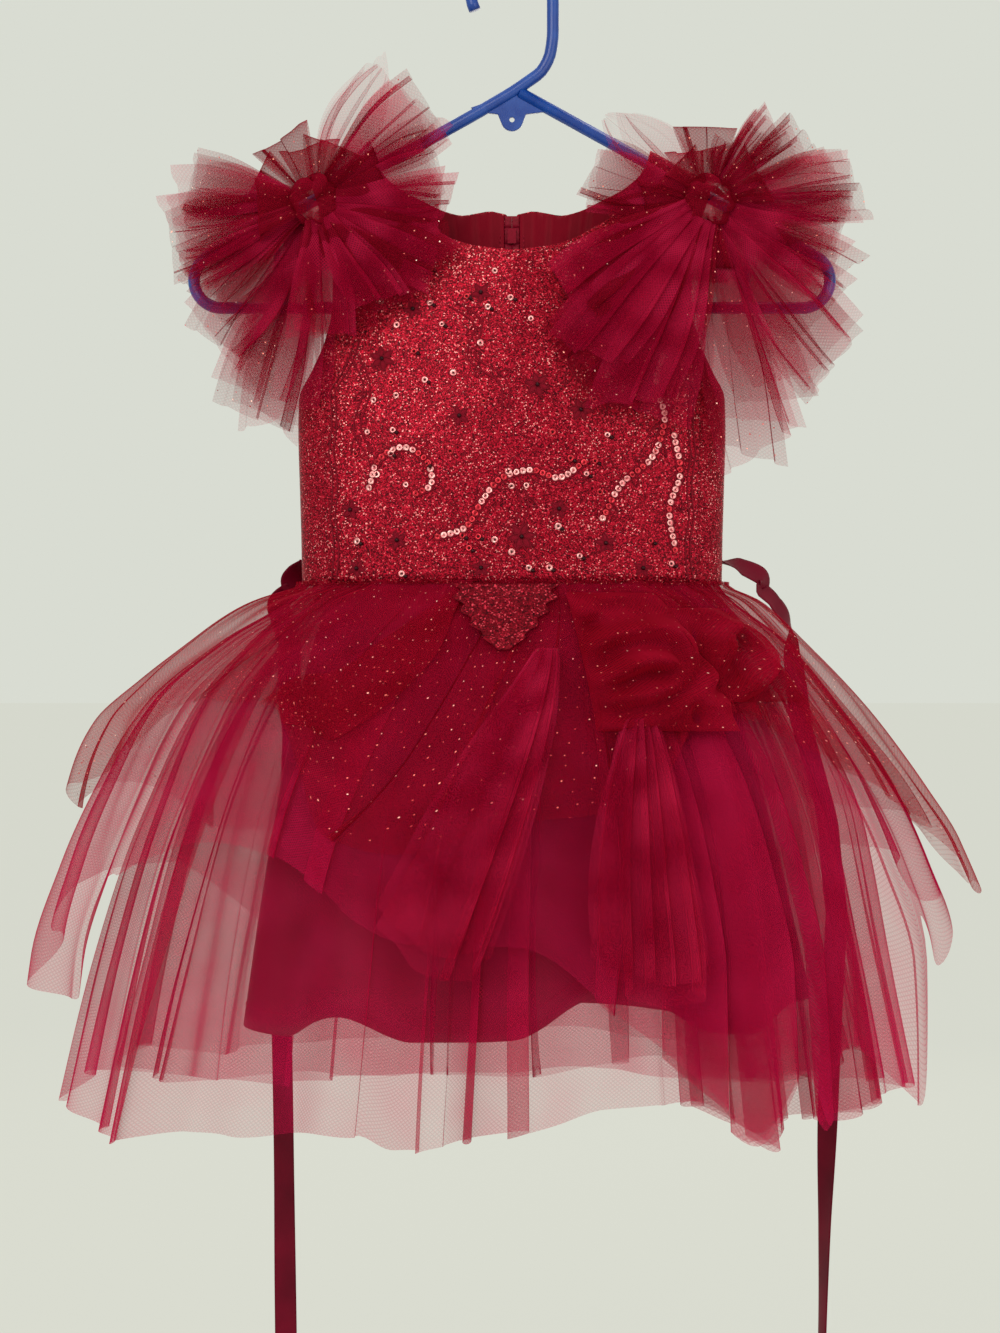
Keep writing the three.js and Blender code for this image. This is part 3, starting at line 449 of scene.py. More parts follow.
looks = {
    "tulle": tulle("nylonTulleKnitted", "#bc1648", "#cc2056", 0.6),
    "tulleUnder": tulle("nylonTulleUnder", "#b41444", "#c41e52", 0.45),
    "glitterTulle": tulle("nylonTulleFoilDotted", "#9a0420", "#b00b30", 0.52, dots=True),
    "ruffleTulle": tulle("ruffleTulleFoilDotted", "#86021c", "#a80a30", 0.5, dots=True),
    "rufflePlain": tulle("ruffleTullePlain", "#a80e36", "#ca2452", 0.48),
    "glitter": glitterKnit("metallicGlitterKnit", 0.6),
    "lace": glitterKnit("cordedLaceNet", 0.7),
    "laceDeep": glitterKnit("cordedLaceNetDeep", 0.9, "#2c020a", "#640414", "#8a0a20", "#c84854"),
    "liningSatin": satin("bodiceLiningSatin", "#6e0318", "#7c071e", 0.6, 0.08),
    "skirtSatin": satin("polyesterSatinWoven", "#62031a", "#780724", 0.5),
    "ribbon": satin("doubleFacedSatinRibbon", "#58021a", "#6e0422", 0.5, 0.1, 0.5),
    "plastic": mouldedPlastic("polypropyleneMoulded", "#0b3486", "#12459a"),
    "zip": plain("dyedNylonCoil", "#70061c", "#860a28", 0.5),
    "slider": plain("lacqueredZincSlider", "#7d0a22", "#8c102c", 0.32, 0.3),
    "label": plain("wovenSatinLabel", "#e6e2da", "#f5f2ec", 0.7),
    "thread": plain("polyesterThread", "#7e0820", "#9a1030", 0.6),
    "cord": plain("rayonSoutacheCord", "#620416", "#7c0820", 0.8),
    "petal": plain("embroideredPetal", "#680416", "#840a24", 0.9, 0.0, 1.6),
    # the same sequin film in a pale copy: painted glint for the sequins that catch the lamp; the crimson copy
    # below is its own colour
    "sequin": plain("pressedSequinFilm", "#d87078", "#ffc4c0", 0.18, 0.6, 0.5),
    "sequinDeep": plain("pressedSequinFilmDeep", "#a41c2a", "#cc3844", 0.22, 0.7, 0.5),
    "bead": plain("cutGlassBead", "#200208", "#38040e", 0.1, 0.0, 0.4),
    "floor": studioPaper("studioFloorMatt", "#dfe1d6"),
}
print("materials made:", len(looks))


# what every piece gets: its finish, the body that it rides on and what it stands for
def place(item, look, replaced=(), slotName=None, body="dress"):
    item.data.materials.clear()
    item.data.materials.append(looks[look])
    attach(item, body)
    if replaced:
        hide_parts(*replaced)
    return item


def gridArea(points, closed):
    ring = np.concatenate([points, points[:, :1]], 1) if closed else points
    a, b, c, d = ring[:-1, :-1], ring[:-1, 1:], ring[1:, 1:], ring[1:, :-1]
    halves = np.cross(b - a, c - a), np.cross(c - a, d - a)
    return 0.5 * sum(np.linalg.norm(half, axis=2) for half in halves).sum()


hanger = {
    "tubeRadius": 4.0,
    "strutRadius": 2.2,
    "hookRadius": 27.0,
    "neckX": 5.3,
    "neckZ": -89.0,
    "slope": math.radians(28),
    "endRadius": 18.2,
    "endX": 191.6,
    "barZ": -231.0,
    "strutX": 155.0,
    "stemBottom": -62.0,
    "gussetHalf": 26.0,      # the flat web under the neck and its small round eye
    "eyeZ": -107.0,
    "eyeRadius": 7.0,
    "holeRadius": 2.1,
    "plateHalf": 1.2,
    "plateBevel": 0.4,
}


def armZ(x):
    return hanger["neckZ"] - math.tan(hanger["slope"]) * (np.abs(x) - hanger["neckX"])


# a smooth line through the corners
def roundedPath(corners, steps=10):
    corners = np.asarray(corners, float)
    at = np.concatenate([[0], np.cumsum(np.linalg.norm(np.diff(corners, axis=0), axis=1))])
    count = max(int(at[-1] / 4), steps)
    t = np.linspace(0, at[-1], count)
    return np.stack([through(list(zip(at, corners[:, k])))(t) for k in range(corners.shape[1])], 1)


def arcPoints(cx, cz, radius, start, end, count):
    turn = np.radians(np.linspace(start, end, count))
    return [(cx + radius * math.cos(a), 0, cz + radius * math.sin(a)) for a in turn]


# a tube along a path with its ends closed
def tubeObject(name, path, radius, sides=20):
    rings = sweepTube(path, radius, sides)
    start, end = rings[0].mean(0), rings[-1].mean(0)
    count = len(path) * sides
    faces = gridFaces(len(path), sides, True)
    caps = []
    for k in range(0, sides, 2):
        a, b, c = k, (k + 1) % sides, (k + 2) % sides
        caps.append([count, c, b, a])
        last = count - sides
        caps.append([count + 1, last + a, last + b, last + c])
    points = np.concatenate([rings.reshape(-1, 3), [start, end]])
    faces = np.concatenate([faces, caps])
    item = meshObject(name, points, faces)
    if signedVolume(points, faces) < 0:
        item.data.flip_normals()
    return item


def joined(name, items):
    with bpy.context.temp_override(active_object=items[0], selected_editable_objects=items):
        bpy.ops.object.join()
    items[0].name = name
    return items[0]


# the flat web under the neck with its small round eye
def gussetPlate():
    half, eyeZ = hanger["gussetHalf"], hanger["eyeZ"]
    eye, bore = hanger["eyeRadius"], hanger["holeRadius"]
    low = float(armZ(half))
    edge = [(-half, low + 1), (0, hanger["neckZ"] - 1), (half, low + 1), (20, low - 1.5), (9, low - 3)]
    edge += [(eye * math.cos(a), eyeZ + eye * math.sin(a)) for a in np.radians(np.linspace(-30, -150, 12))]
    edge += [(-9, low - 3), (-20, low - 1.5)]
    turns = np.linspace(0, 2 * math.pi, 16, endpoint=False)
    hole = [(bore * math.cos(a), eyeZ + bore * math.sin(a)) for a in turns]
    curve = bpy.data.curves.new("hangerGusset", "CURVE")
    curve.dimensions = "2D"
    curve.fill_mode = "BOTH"
    for outline in (edge, hole):
        line = curve.splines.new("POLY")
        line.points.add(len(outline) - 1)
        line.use_cyclic_u = True
        for point, (x, z) in zip(line.points, outline):
            point.co = (x * mm, z * mm, 0, 1)
    curve.extrude = hanger["plateHalf"] * mm
    curve.bevel_depth = hanger["plateBevel"] * mm
    curve.bevel_resolution = 2
    return plainMesh(bpy.data.objects.new("hangerGusset", curve), Matrix.Rotation(math.radians(90), 4, "X"))


# the evaluated shape of an object as a plain mesh object
def plainMesh(item, turn=None):
    if item.name not in bpy.context.scene.collection.objects:
        bpy.context.scene.collection.objects.link(item)
    bpy.context.view_layer.update()
    evaluated = item.evaluated_get(bpy.context.evaluated_depsgraph_get())
    mesh = bpy.data.meshes.new_from_object(evaluated)
    if turn is not None:
        mesh.transform(turn)
    name = item.name
    bpy.data.objects.remove(item)
    made = bpy.data.objects.new(name, mesh)
    bpy.context.scene.collection.objects.link(made)
    return made


def buildHanger():
    radius, hook = hanger["tubeRadius"], hanger["hookRadius"]
    low = hanger["stemBottom"]
    path = arcPoints(0, radius - hook, hook, 205, 0, 30)
    path += [(hook, 0, low + 14), (hook - 1.5, 0, low), (hook - 7, 0, low - 12), (hook - 17, 0, low - 20)]
    path += [(-hanger["neckX"], 0, hanger["neckZ"] - 3)]
    endZ = hanger["barZ"] + hanger["endRadius"]
    left = arcPoints(-hanger["endX"], endZ, hanger["endRadius"], 118, 270, 18)
    right = arcPoints(hanger["endX"], endZ, hanger["endRadius"], -90, 62, 18)
    stem = np.concatenate([roundedPath(path + [left[0]]), left[1:]])
    loop = np.concatenate([stem, right, [(hanger["neckX"], 0, hanger["neckZ"])]])
    parts = [tubeObject("hangerTube", loop, radius, 24)]
    for side in (-1, 1):
        x = side * hanger["strutX"]
        parts.append(tubeObject("hangerStrut", [(x, 0, float(armZ(x))), (x, 0, hanger["barZ"])],
                                hanger["strutRadius"], 16))
    parts.append(gussetPlate())
    item = joined("hangerMoulding", parts)
    for polygon in item.data.polygons:
        polygon.use_smooth = True
    place(item, "plastic", ["hanger"], "plastic")


buildHanger()
print("hanger made")

bodice = {
    "waistZ": -414.0,
    "armholeZ": -292.0,
    "neckHalf": 91.0,
    "shoulderHalf": 131.0,
    "ovalPower": 2.2,
    "cadWall": 1.6,
    "wall": 1.0,
    "seatRadius": hanger["tubeRadius"] + 0.8 + 1.4,
    "columns": 89,
    "rows": 70,
    "backSlot": 3.3,         # half the slot between the two backs, which the zip fills
    "inside": -(0.8 + seamGap + 0.5 + 0.3),     # where the linings and the zip lie
    "liningShare": 0.64,     # share of the half width behind the neck opening
    "liningWall": 0.7,
    "liningSlot": 5.4,
    "creaseSeed": 3,
}
neckLabel = {"shares": (0.155, 0.35), "z": (-214, -190), "under": 1.3, "thick": 0.4}
bodiceHalf = through([
    [-414, 138], [-385, 138.5], [-350, 139.5], [-312, 140.5], [-292, 140], [-274, 131], [-254, 122],
    [-232, 117.5], [-205, 117.5], [-180, 123], [-154, 131]])
frontDepth = through([[10, 7], [35, 10], [60, 14.5], [110, 26], [170, 35], [240, 39.5], [330, 40]])
backDepth = through([[10, 7], [35, 8.5], [60, 11], [110, 16], [170, 25], [240, 34], [330, 40]])
frontNeck = through([
    [0, -197], [26, -193.5], [41, -188], [55, -180], [68, -171.5], [82, -156.5], [87, -143], [91, -128.4]])
backNeck = through([
    [0, -167.5], [6, -166.6], [14, -165], [24, -166.6], [33, -168], [43, -166], [60, -158.5], [72, -152.5],
    [83, -144], [88, -137], [91, -128.4]])


# the shoulders lie on the hanger's arms
def shoulderZ(x):
    return armZ(x) + bodice["seatRadius"] / math.cos(hanger["slope"])


# how far the front (-1) or back (1) stands from the middle plane: an oval, wrapped over the arm at the top
def bodiceY(facing, x, z):
    drop = shoulderZ(np.minimum(np.abs(x), bodice["shoulderHalf"])) - z
    u = np.clip(x / bodiceHalf(z), -1, 1)
    openArm = smooth(z, bodice["armholeZ"] - 2, bodice["armholeZ"] + 46)
    power = bodice["ovalPower"]
    side = np.maximum(0, 1 - np.abs(u * (1 - 0.17 * openArm)) ** power) ** (1 / power)
    share = lerp(side, 1, smooth(-drop, -40, -8))
    depth = frontDepth(drop) if facing < 0 else backDepth(drop)
    seat = bodice["seatRadius"]
    down = drop * math.cos(hanger["slope"])
    wrapped = np.sqrt(np.maximum(seat ** 2 - np.maximum(seat - down, 0) ** 2, 0))
    depth = lerp(wrapped, depth, smooth(drop, 6, 16))
    return facing * np.maximum(depth * share, (seamGap + bodice["cadWall"] * 0.2) / 2)


# height of the neck and shoulder edge at each share of the half width
def topEdge(share, neck, drop=0.0):
    x = np.abs(share) * bodice["shoulderHalf"]
    inNeck = neck(x)
    inNeck = neck(x * bodiceHalf(inNeck) / bodice["shoulderHalf"])
    top = np.where(x < bodice["neckHalf"], inNeck, shoulderZ(x) - 0.35)
    return np.minimum(top, shoulderZ(x) - drop)


# points of the surface and its outward normals, for any x and z
def bodiceSurface(facing, x, z, out=0.0, crease=0.0):
    d = 0.4
    limit = bodiceHalf(z) - d
    inside = np.clip(x, -limit, limit)
    acrossSlope = (bodiceY(facing, inside + d, z) - bodiceY(facing, inside - d, z)) / (2 * d)
    upSlope = (bodiceY(facing, x, z + d) - bodiceY(facing, x, z - d)) / (2 * d)
    normal = np.stack([-acrossSlope, np.ones_like(acrossSlope), -upSlope], -1) * facing
    normal /= np.linalg.norm(normal, axis=-1, keepdims=True)
    point = np.stack([x, bodiceY(facing, x, z), z], -1)
    return point + normal * (np.asarray(out) + crease)[..., None], normal


# soft drag lines: a little slack over the chest, flat at the seams
def bodiceCrease(x, z):
    calm = smooth(z, -410, -380) * (1 - smooth(z, -230, -175))
    calm = calm * (1 - smooth(np.abs(x) / bodiceHalf(z), 0.8, 0.98))
    return 0.9 * calm * ripple(bodice["creaseSeed"], x / 42, z / 60)


# a panel of the bodice over shares of its half width and of its height from the waist to the neck
def bodicePanel(name, facing, neck, shares, ups, out, thickness, drop=0.0, least=0.0):
    share, v = np.meshgrid(shares, ups)
    top = topEdge(share, neck, drop)
    z = lerp(bodice["waistZ"], top, v)
    x = share * bodiceHalf(z)
    if least:
        side = math.copysign(1, least)
        x = side * np.maximum(np.abs(x), abs(least))
    points, normals = bodiceSurface(facing, x, z, np.full(x.shape, out), bodiceCrease(x, z))
    return clothWall(name, points, thickness, normals=normals), points


# shares that lie closer together towards both edges
def evenShares(count, low, high):
    t = np.linspace(-1, 1, count)
    return lerp(low, high, 0.5 + 0.5 * np.sign(t) * (1 - (1 - np.abs(t)) ** 1.5))


def buildBodice():
    rows = 1 - (1 - np.linspace(0, 1, bodice["rows"])) ** 1.6
    neckShare = bodice["neckHalf"] / bodice["shoulderHalf"]
    shares = np.unique(np.concatenate([evenShares(bodice["columns"], -1, 1), [-neckShare, neckShare, 0]]))
    wall, inside = bodice["wall"], bodice["inside"]
    item, points = bodicePanel("bodiceFrontGlitter", -1, frontNeck, shares, rows, 0, wall)
    place(item, "glitter", ["bodice_front"], "glitter_lace")
    for name, side in (("Left", -1), ("Right", 1)):
        half = np.sort(np.unique(np.abs(shares)) * side)
        item, points = bodicePanel("bodiceBack" + name + "Glitter", 1, backNeck, half, rows, 0, wall,
                                   least=side * bodice["backSlot"])
        place(item, "glitter", ["bodice_back_" + name.lower()], "glitter_lace")
        lining = half[np.abs(half) <= bodice["liningShare"]]
        item, points = bodicePanel("backLining" + name + "Satin", 1, backNeck, lining, lerp(0.1, 0.997, rows),
                                   inside, bodice["liningWall"], drop=14, least=side * bodice["liningSlot"])
        place(item, "liningSatin", ["back_lining_" + name.lower()], "lining_satin")
    waistZ = bodice["waistZ"]
    labelUps = (np.linspace(*neckLabel["z"], 12) - waistZ) / (float(backNeck(30)) - waistZ)
    item, points = bodicePanel("neckLabelBlank", 1, backNeck, np.linspace(*neckLabel["shares"], 14), labelUps,
                               inside - neckLabel["under"], neckLabel["thick"])
    place(item, "label", ["neck_label"], "label")


buildBodice()
print("bodice made")


skirtTop = -415.2
# half widths to the left and right and the depth of each layer, down from the waist
sizeRows = {
    "lining": [
        [-415.2, 118, 118, 32.8], [-450, 130, 132, 37], [-500, 143, 148, 47], [-600, 160, 172, 66],
        [-720, 176, 196, 84]],
    "second": [
        [-415.2, 124, 124, 35.4], [-450, 150, 145, 44], [-490, 178, 168, 60], [-560, 210, 198, 81],
        [-661, 238, 220, 102], [-740, 256, 240, 116]],
    "long": [
        [-415.2, 130, 130, 38], [-450, 170, 160, 50.5], [-490, 205, 190, 70], [-560, 238, 222, 93],
        [-595, 250, 230, 102], [-661, 266, 242, 114], [-780, 292, 264, 133]],
    "points": [
        [-415.2, 136, 136, 40.8], [-424, 146, 144, 44], [-450, 190, 178, 57], [-490, 238, 212, 80],
        [-549, 272, 254, 103], [-595, 292, 276, 114], [-655, 310, 296, 124], [-780, 318, 300, 143]],
    "over": [
        [-415.2, 142, 142, 43.1], [-424, 170, 162, 49.5], [-432, 186, 172, 54], [-450, 212, 190, 65],
        [-476, 245, 214, 82], [-503, 270, 236, 96], [-549, 286, 269, 113], [-582, 292, 289, 122],
        [-660, 318, 314, 133], [-780, 330, 320, 153]],
}
sizes = {
    layer: [through([[row[0], row[k]] for row in rows]) for k in (1, 2, 3)]
    for layer, rows in sizeRows.items()
}
# height of each hem round the skirt, from the front (0) by the right (90)
hems = {
    "lining": around([
        [0, -702], [16, -678], [27, -680], [40, -700], [58, -704], [78, -682], [95, -690], [130, -704],
        [180, -700], [230, -706], [270, -700], [300, -706], [322, -690], [338, -706]]),
    "second": around([
        [0, -722], [20, -712], [45, -728], [70, -716], [95, -722], [140, -732], [180, -722], [225, -734],
        [265, -718], [300, -730], [335, -720]]),
    "long": around([
        [0, -753], [6, -747], [13, -738], [25, -734], [32, -753], [36, -765], [43, -753], [56, -748],
        [75, -738], [90, -744], [120, -750], [150, -758], [180, -752], [212, -760], [240, -748],
        [270, -737], [280, -750], [303, -764], [322, -761], [335, -752], [341, -755], [345, -765],
        [354, -759]]),
    "points": around([
        [0, -640], [14, -690], [24, -735], [29, -756], [35, -715], [41, -754], [48, -705], [57, -742],
        [61, -690], [65, -628], [70, -662], [76, -645], [86, -612], [97, -622], [104, -600], [125, -590],
        [150, -668], [175, -600], [205, -672], [232, -600], [255, -612], [264, -640], [270, -648],
        [282, -672], [295, -680], [303, -602], [318, -578], [335, -600], [348, -640]]),
    "over": around([
        [0, -562], [12, -556], [22, -532], [31, -494], [40, -500], [52, -526], [66, -562], [78, -602],
        [87, -618], [96, -600], [106, -570], [140, -560], [165, -596], [190, -560], [220, -582],
        [245, -548], [264, -560], [273, -560], [284, -544], [297, -528], [309, -492], [322, -488],
        [331, -530], [337, -572], [346, -586]]),
}
foldDepth = through([[-415.2, 0.4], [-430, 1.8], [-450, 3.4], [-500, 7], [-560, 10], [-660, 13], [-780, 16]])
liningDepth = through([[-415.2, 0.2], [-450, 1], [-500, 3], [-600, 6], [-720, 9]])

# how closely the gathers bunch round the skirt, from the front (0) by the right (90)
bunching = around([
    [0, 0.75], [4, 0.7], [5.5, 0.04], [20, 0.04], [22, 0.6], [27, 0.85], [38, 0.9], [39.5, 0.05],
    [43, 0.05], [45, 0.9], [61, 0.85], [64, 0.2], [76, 0.2], [90, 0.35], [110, 0.1], [130, 0.4],
    [150, 0.05], [170, 0.2], [190, 0.05], [215, 0.4], [240, 0.1], [262, 0.15], [272, 0.35], [290, 0.4],
    [300, 0.65], [313, 0.6], [316, 0.1], [321, 0.35], [324, 0.03], [338, 0.03], [340, 0.6], [345, 0.9],
    [349.5, 0.95], [351, 0.06], [353, 0.06], [354.5, 0.75]])
bunchTakes = 4.0         # how much more cloth a bunch takes than a plain stretch
# how far the heads stand up over the waist seam
rise = {"lining": 1.8, "second": 0.9, "long": 0.9, "points": 0.9, "over": 3.4}
gathers = {
    "lining": {"columns": 300, "rows": 36},
    "second": {"folds": 14, "deep": 5.0, "columns": 640, "rows": 36, "swing": 0.0, "turn": 3},
    "long": {"folds": 36, "deep": 8.0, "columns": 1100, "rows": 52, "swing": 2.0, "turn": 0},
    "points": {"folds": 24, "deep": 7.0, "columns": 900, "rows": 46, "swing": 6.0, "turn": 5},
    "over": {"folds": 26, "deep": 6.0, "columns": 980, "rows": 50, "swing": 21.0, "turn": -6},
}


# a point on a layer of the skirt, with the folds that its solid has
def ringPoint(layer, degrees, z, out=0.0):
    angle = np.radians(degrees)
    sine = np.sin(angle)
    left, right, depth = sizes[layer]
    width = lerp(left(z), right(z), smooth(sine, -0.6, 0.6))
    if layer == "lining":
        fold = liningDepth(z) * (0.75 * np.sin(9 * angle + 1.3) + 0.3 * np.sin(5 * angle))
    else:
        wave = 0.5 * np.sin(13 * angle + 0.7) + 0.35 * np.sin(19 * angle + 2) + 0.3 * np.sin(8 * angle + 4)
        fold = foldDepth(z) * wave
    away = fold + out
    return np.stack([(width + away) * sine, -(depth(z) + away) * np.cos(angle), z + 0 * angle], -1)


# each column's share of the cloth, its degrees round the skirt and the degrees that one fold spans there
def clothPlaces(layer):
    look = gathers[layer]
    fine = np.linspace(-180, 180, 2881)
    taken = 1 + bunchTakes * bunching(fine + look["turn"])
    total = np.concatenate([[0], np.cumsum((taken[1:] + taken[:-1]) / 2)])
    total /= total[-1]
    share = np.arange(look["columns"]) / look["columns"]
    period = 360 / look["folds"] * np.interp(share, total, taken.mean() / taken)
    return share, np.interp(share, total, fine), period


# folds of very different widths: the phase at each share of the cloth, and how strong each fold is
def unevenFolds(share, count, seed, least=0.35):
    chance = np.random.default_rng(seed)
    widths = least + chance.gamma(1.6, 0.6, count)
    edges = np.concatenate([[0], np.cumsum(widths)]) / widths.sum()
    phase = 2 * np.pi * np.interp(share, edges, np.arange(count + 1))
    strength = chance.uniform(0.25, 1.3, count)
    strength[:: 5] *= 0.3
    middles = (edges[1:] + edges[:-1]) / 2
    force = np.interp(share, middles, strength, period=1.0)
    return phase, force, np.interp(share, middles, widths / widths.mean(), period=1.0)


# flat folds that double back on themselves, straight from the waist to the hem
def gatheredGrid(layer):
    look = gathers[layer]
    seed = len(layer) * 7
    share, base, period = clothPlaces(layer)
    v = np.linspace(0, 1, look["rows"]) ** 1.15
    s, down = np.meshgrid(share, v)
    period = np.broadcast_to(period, s.shape)
    bunch = bunching(base + look["turn"])
    angle = 2 * np.pi * s
    phase, uneven, wide = unevenFolds(s, look["folds"], seed)
    period = period * wide
    east, north = np.sin(angle), np.cos(angle)
    phase = phase + 1.1 * smooth(down, 0.1, 0.9) * ripple(seed + 1, 4 * north, 4 * east, 2.2 * down)
    opened = smooth(down, 0.0, 0.3)
    overlap = lerp(0.01, 0.85, bunch ** 1.6) * uneven
    lean = overlap * period * np.sin(phase) * lerp(0.5, 1.0, opened)
    deep = look["deep"] * lerp(0.15, 1.0, bunch) * lerp(0.2, 1.0, smooth(down, 0.0, 0.9)) * uneven
    fold = deep * np.sin(phase)
    gather = 0.9 * (1 - smooth(down, 0.03, 0.4)) * np.sin(3.3 * phase + seed)
    soft = 3.4 * smooth(down, 0.1, 0.8) * ripple(seed + 2, 2 * north, 2 * east, 2 * down)
    crumple = 1.5 * smooth(down, 0.08, 0.5) * ripple(seed + 3, 8 * north, 8 * east, 5 * down)
    degrees = base + lean + 1.1 * down * ripple(seed + 4, 5 * north, 5 * east, 3 * down)
    near = np.exp(-((np.mod(degrees + 190, 360) - 180) / 34) ** 2)
    degrees = degrees - look["swing"] * down * near
    hem = hems[layer](degrees)
    frayed = 2.6 * ripple(len(layer), 9 * north, 9 * east) + 3.5 * bunch * uneven * np.sin(phase + 0.9)
    ragged = smooth(down, 0.75, 1) * frayed
    z = lerp(skirtTop + rise[layer], hem + ragged, down)
    fullness = lerp(1.7, 1.0, smooth(down, 0, 0.3)) * lerp(0.85, 1.25, bunch) * np.ones_like(down)
    return ringPoint(layer, degrees, z, fold + gather + soft + crumple), fullness


def liningGrid():
    look = gathers["lining"]
    degrees = -180 + 360 * np.arange(look["columns"]) / look["columns"]
    v = np.linspace(0, 1, look["rows"]) ** 1.15
    degrees, down = np.meshgrid(degrees, v)
    z = lerp(skirtTop + rise["lining"], hems["lining"](degrees), down)
    pleats = 0.35 * (1 - smooth(down, 0, 0.12)) * np.sin(np.radians(degrees) * 90)
    return ringPoint("lining", degrees, z, pleats)


# name, layer, look, solid, slot
skirtPieces = [
    ("satinUnderskirt", "lining", "skirtSatin", "skirt_lining", "skirt_satin"),
    ("tulleSecondSkirt", "second", "tulleUnder", "tulle_second", "tulle"),
    ("tulleLongSkirt", "long", "tulle", "tulle_long", "tulle"),
    ("tullePointedSkirt", "points", "tulle", "tulle_points", "tulle"),
    ("glitterOverskirt", "over", "glitterTulle", "glitter_overskirt", "glitter_tulle"),
]


def buildSkirts():
    for name, layer, look, cadNode, slotName in skirtPieces:
        if layer == "lining":
            points = liningGrid()
            item = clothWall(name, points, 0.8, True)
        else:
            points, fullness = gatheredGrid(layer)
            item = clothSheet(name, points, True, fullness)
        place(item, look, [cadNode], slotName)


buildSkirts()
print("skirts made")

puffs = {
    "pick_up_front": {"start": 13.2, "end": 34, "top": -420, "bottom": -508, "bulge": 32},
    "pick_up_side": {"start": 35.5, "end": 53, "top": -430, "bottom": -490, "bulge": 26},
}
tails = {
    "tail_left": {
        "top": 6, "hem": -11, "topHalf": 4, "hemHalf": 6.5, "topZ": -470, "hemZ": -655, "folds": 2},
    "tail_right": {
        "top": 19, "hem": 13, "topHalf": 5, "hemHalf": 6.5, "topZ": -514, "hemZ": -672, "folds": 3},
}
lacePoint = {"middle": -1.5, "half": 12, "tip": -457, "above": 0.9, "out": 3.0, "scallops": 30, "thick": 0.5}
clearOfSkirt = 2.4


def camel(words):
    first, *rest = words.split("_")
    return first + "".join(word.capitalize() for word in rest)


def shareGrid(rows, columns):
    u, v = np.meshgrid(np.linspace(0, 1, columns), np.linspace(0, 1, rows))
    return v, u


# main creases of the pick-ups, as lines of (x, z) seen from the front, with height and half width
pickUpCreases = [
    ([[30, -446], [54, -424], [92, -414], [120, -418], [133, -438], [129, -464], [115, -486], [88, -503],
      [54, -509]], 9, 6),
    ([[40, -464], [60, -448], [88, -442], [110, -450], [110, -470], [88, -485], [60, -490]], 7, 5),
    ([[56, -478], [80, -464], [98, -466]], 6, 4.5),
    ([[22, -484], [44, -498], [80, -513], [110, -503]], 6, 5),
    ([[141, -440], [157, -450], [159, -472], [144, -488], [124, -492]], 8, 5),
    ([[36, -430], [62, -436], [84, -430]], 4, 4),
]


def nearLine(x, z, line):
    line = smoothLine(line, 3.0)
    return np.sqrt(((x[..., None] - line[:, 0]) ** 2 + (z[..., None] - line[:, 1]) ** 2).min(-1))


def buildLacePoint():
    v, u = shareGrid(26, 40)
    half = lacePoint["half"] * np.maximum(1 - v, 0) ** 0.9 + 0.9
    half = half * (1 + 0.1 * np.cos(lacePoint["scallops"] * v))
    z = lerp(skirtTop + lacePoint["above"], lacePoint["tip"], v)
    points = ringPoint("over", lacePoint["middle"] + half * (2 * u - 1), z, lacePoint["out"])
    item = clothWall("lacePoint", points, lacePoint["thick"])
    place(item, "laceDeep", ["lace_point"], "lace")


# cloth of the overskirt bunched up and tacked down: a creased hump over a plainer one
def buildPickUps():
    for cadNode, puff in puffs.items():
        for layer, (deeper, seed) in enumerate(((0.0, 3), (-8.0, 8))):
            v, u = shareGrid(84, 110)
            hump = np.maximum(np.sin(np.pi * v), 0) ** 0.6 * np.maximum(np.sin(np.pi * u), 0) ** 0.4
            z = lerp(puff["top"], puff["bottom"], v) + 7 * hump * (1 - v)
            degrees = lerp(puff["start"] - 1.0, puff["end"] + 1.0, u)
            base = ringPoint("over", degrees, z, 12)
            out = 0.62 * puff["bulge"] * hump
            for line, high, wide in pickUpCreases:
                away = nearLine(base[..., 0], z, line)
                out = out + hump * high * 1.4 * (
                    np.exp(-(away / wide) ** 2) - 0.6 * np.exp(-((away - 2 * wide) / wide) ** 2))
            out = out + hump * 1.6 * ripple(seed, 7 * u, 6 * v + 3 * u)
            out = clearOfSkirt + np.maximum(out + deeper, 0.4 + 3 * hump)
            points = ringPoint("over", degrees, z, out)
            name = camel(cadNode) + "AB"[layer]
            item = clothSheet(name, points, fullness=2.2)
            look, replaced = ("rufflePlain", []) if layer else ("glitterTulle", [cadNode])
            place(item, look, replaced, "glitter_tulle")


# the ends of the drawn-up cloth that hang below, two layers each
def buildTails():
    for cadNode, tail in tails.items():
        for layer, (further, seed) in enumerate(((0.0, 5), (3.0, 11))):
            v, u = shareGrid(60, 120)
            folds = tail["folds"] + 1 + layer
            phase, force, _ = unevenFolds(u, folds, seed + len(cadNode), 0.7)
            phase = phase + ripple(seed, 2 * u, 2.5 * v)
            half = lerp(tail["topHalf"] * 0.45, tail["hemHalf"], np.sin(1.7 * v) ** 0.7)
            lean = 0.3 * (2 / folds) * force * np.sin(phase) * half
            sway = 2.2 * np.sin(2.6 * v + seed) * v
            out = clearOfSkirt + further + 1.4 + lerp(2.0, 4.2, v) * (1 + np.sin(phase)) * force
            out = out + 2.0 * (1 + ripple(seed + 1, 3 * u, 3 * v)) * v
            end = tail["hemZ"] + 20 * (2 * u - 1) ** 2 - 9 * np.sin(3 * u + seed) + 12 * layer
            degrees = lerp(tail["top"], tail["hem"], v) + half * (2 * u - 1) + lean + sway
            points = ringPoint("over", degrees, lerp(tail["topZ"] + 14, end, v), out)
            name = camel(cadNode) + "AB"[layer]
            item = clothSheet(name, points, fullness=lerp(1.5, 1.0, v))
            place(item, "rufflePlain", [] if layer else [cadNode], "glitter_tulle")


buildLacePoint()
buildPickUps()
buildTails()
print("pick-ups, tails and lace point made")

tie = {"wide": 15.5, "top": -398.0, "foot": -985.0, "hang": -640.0, "thick": 0.45}
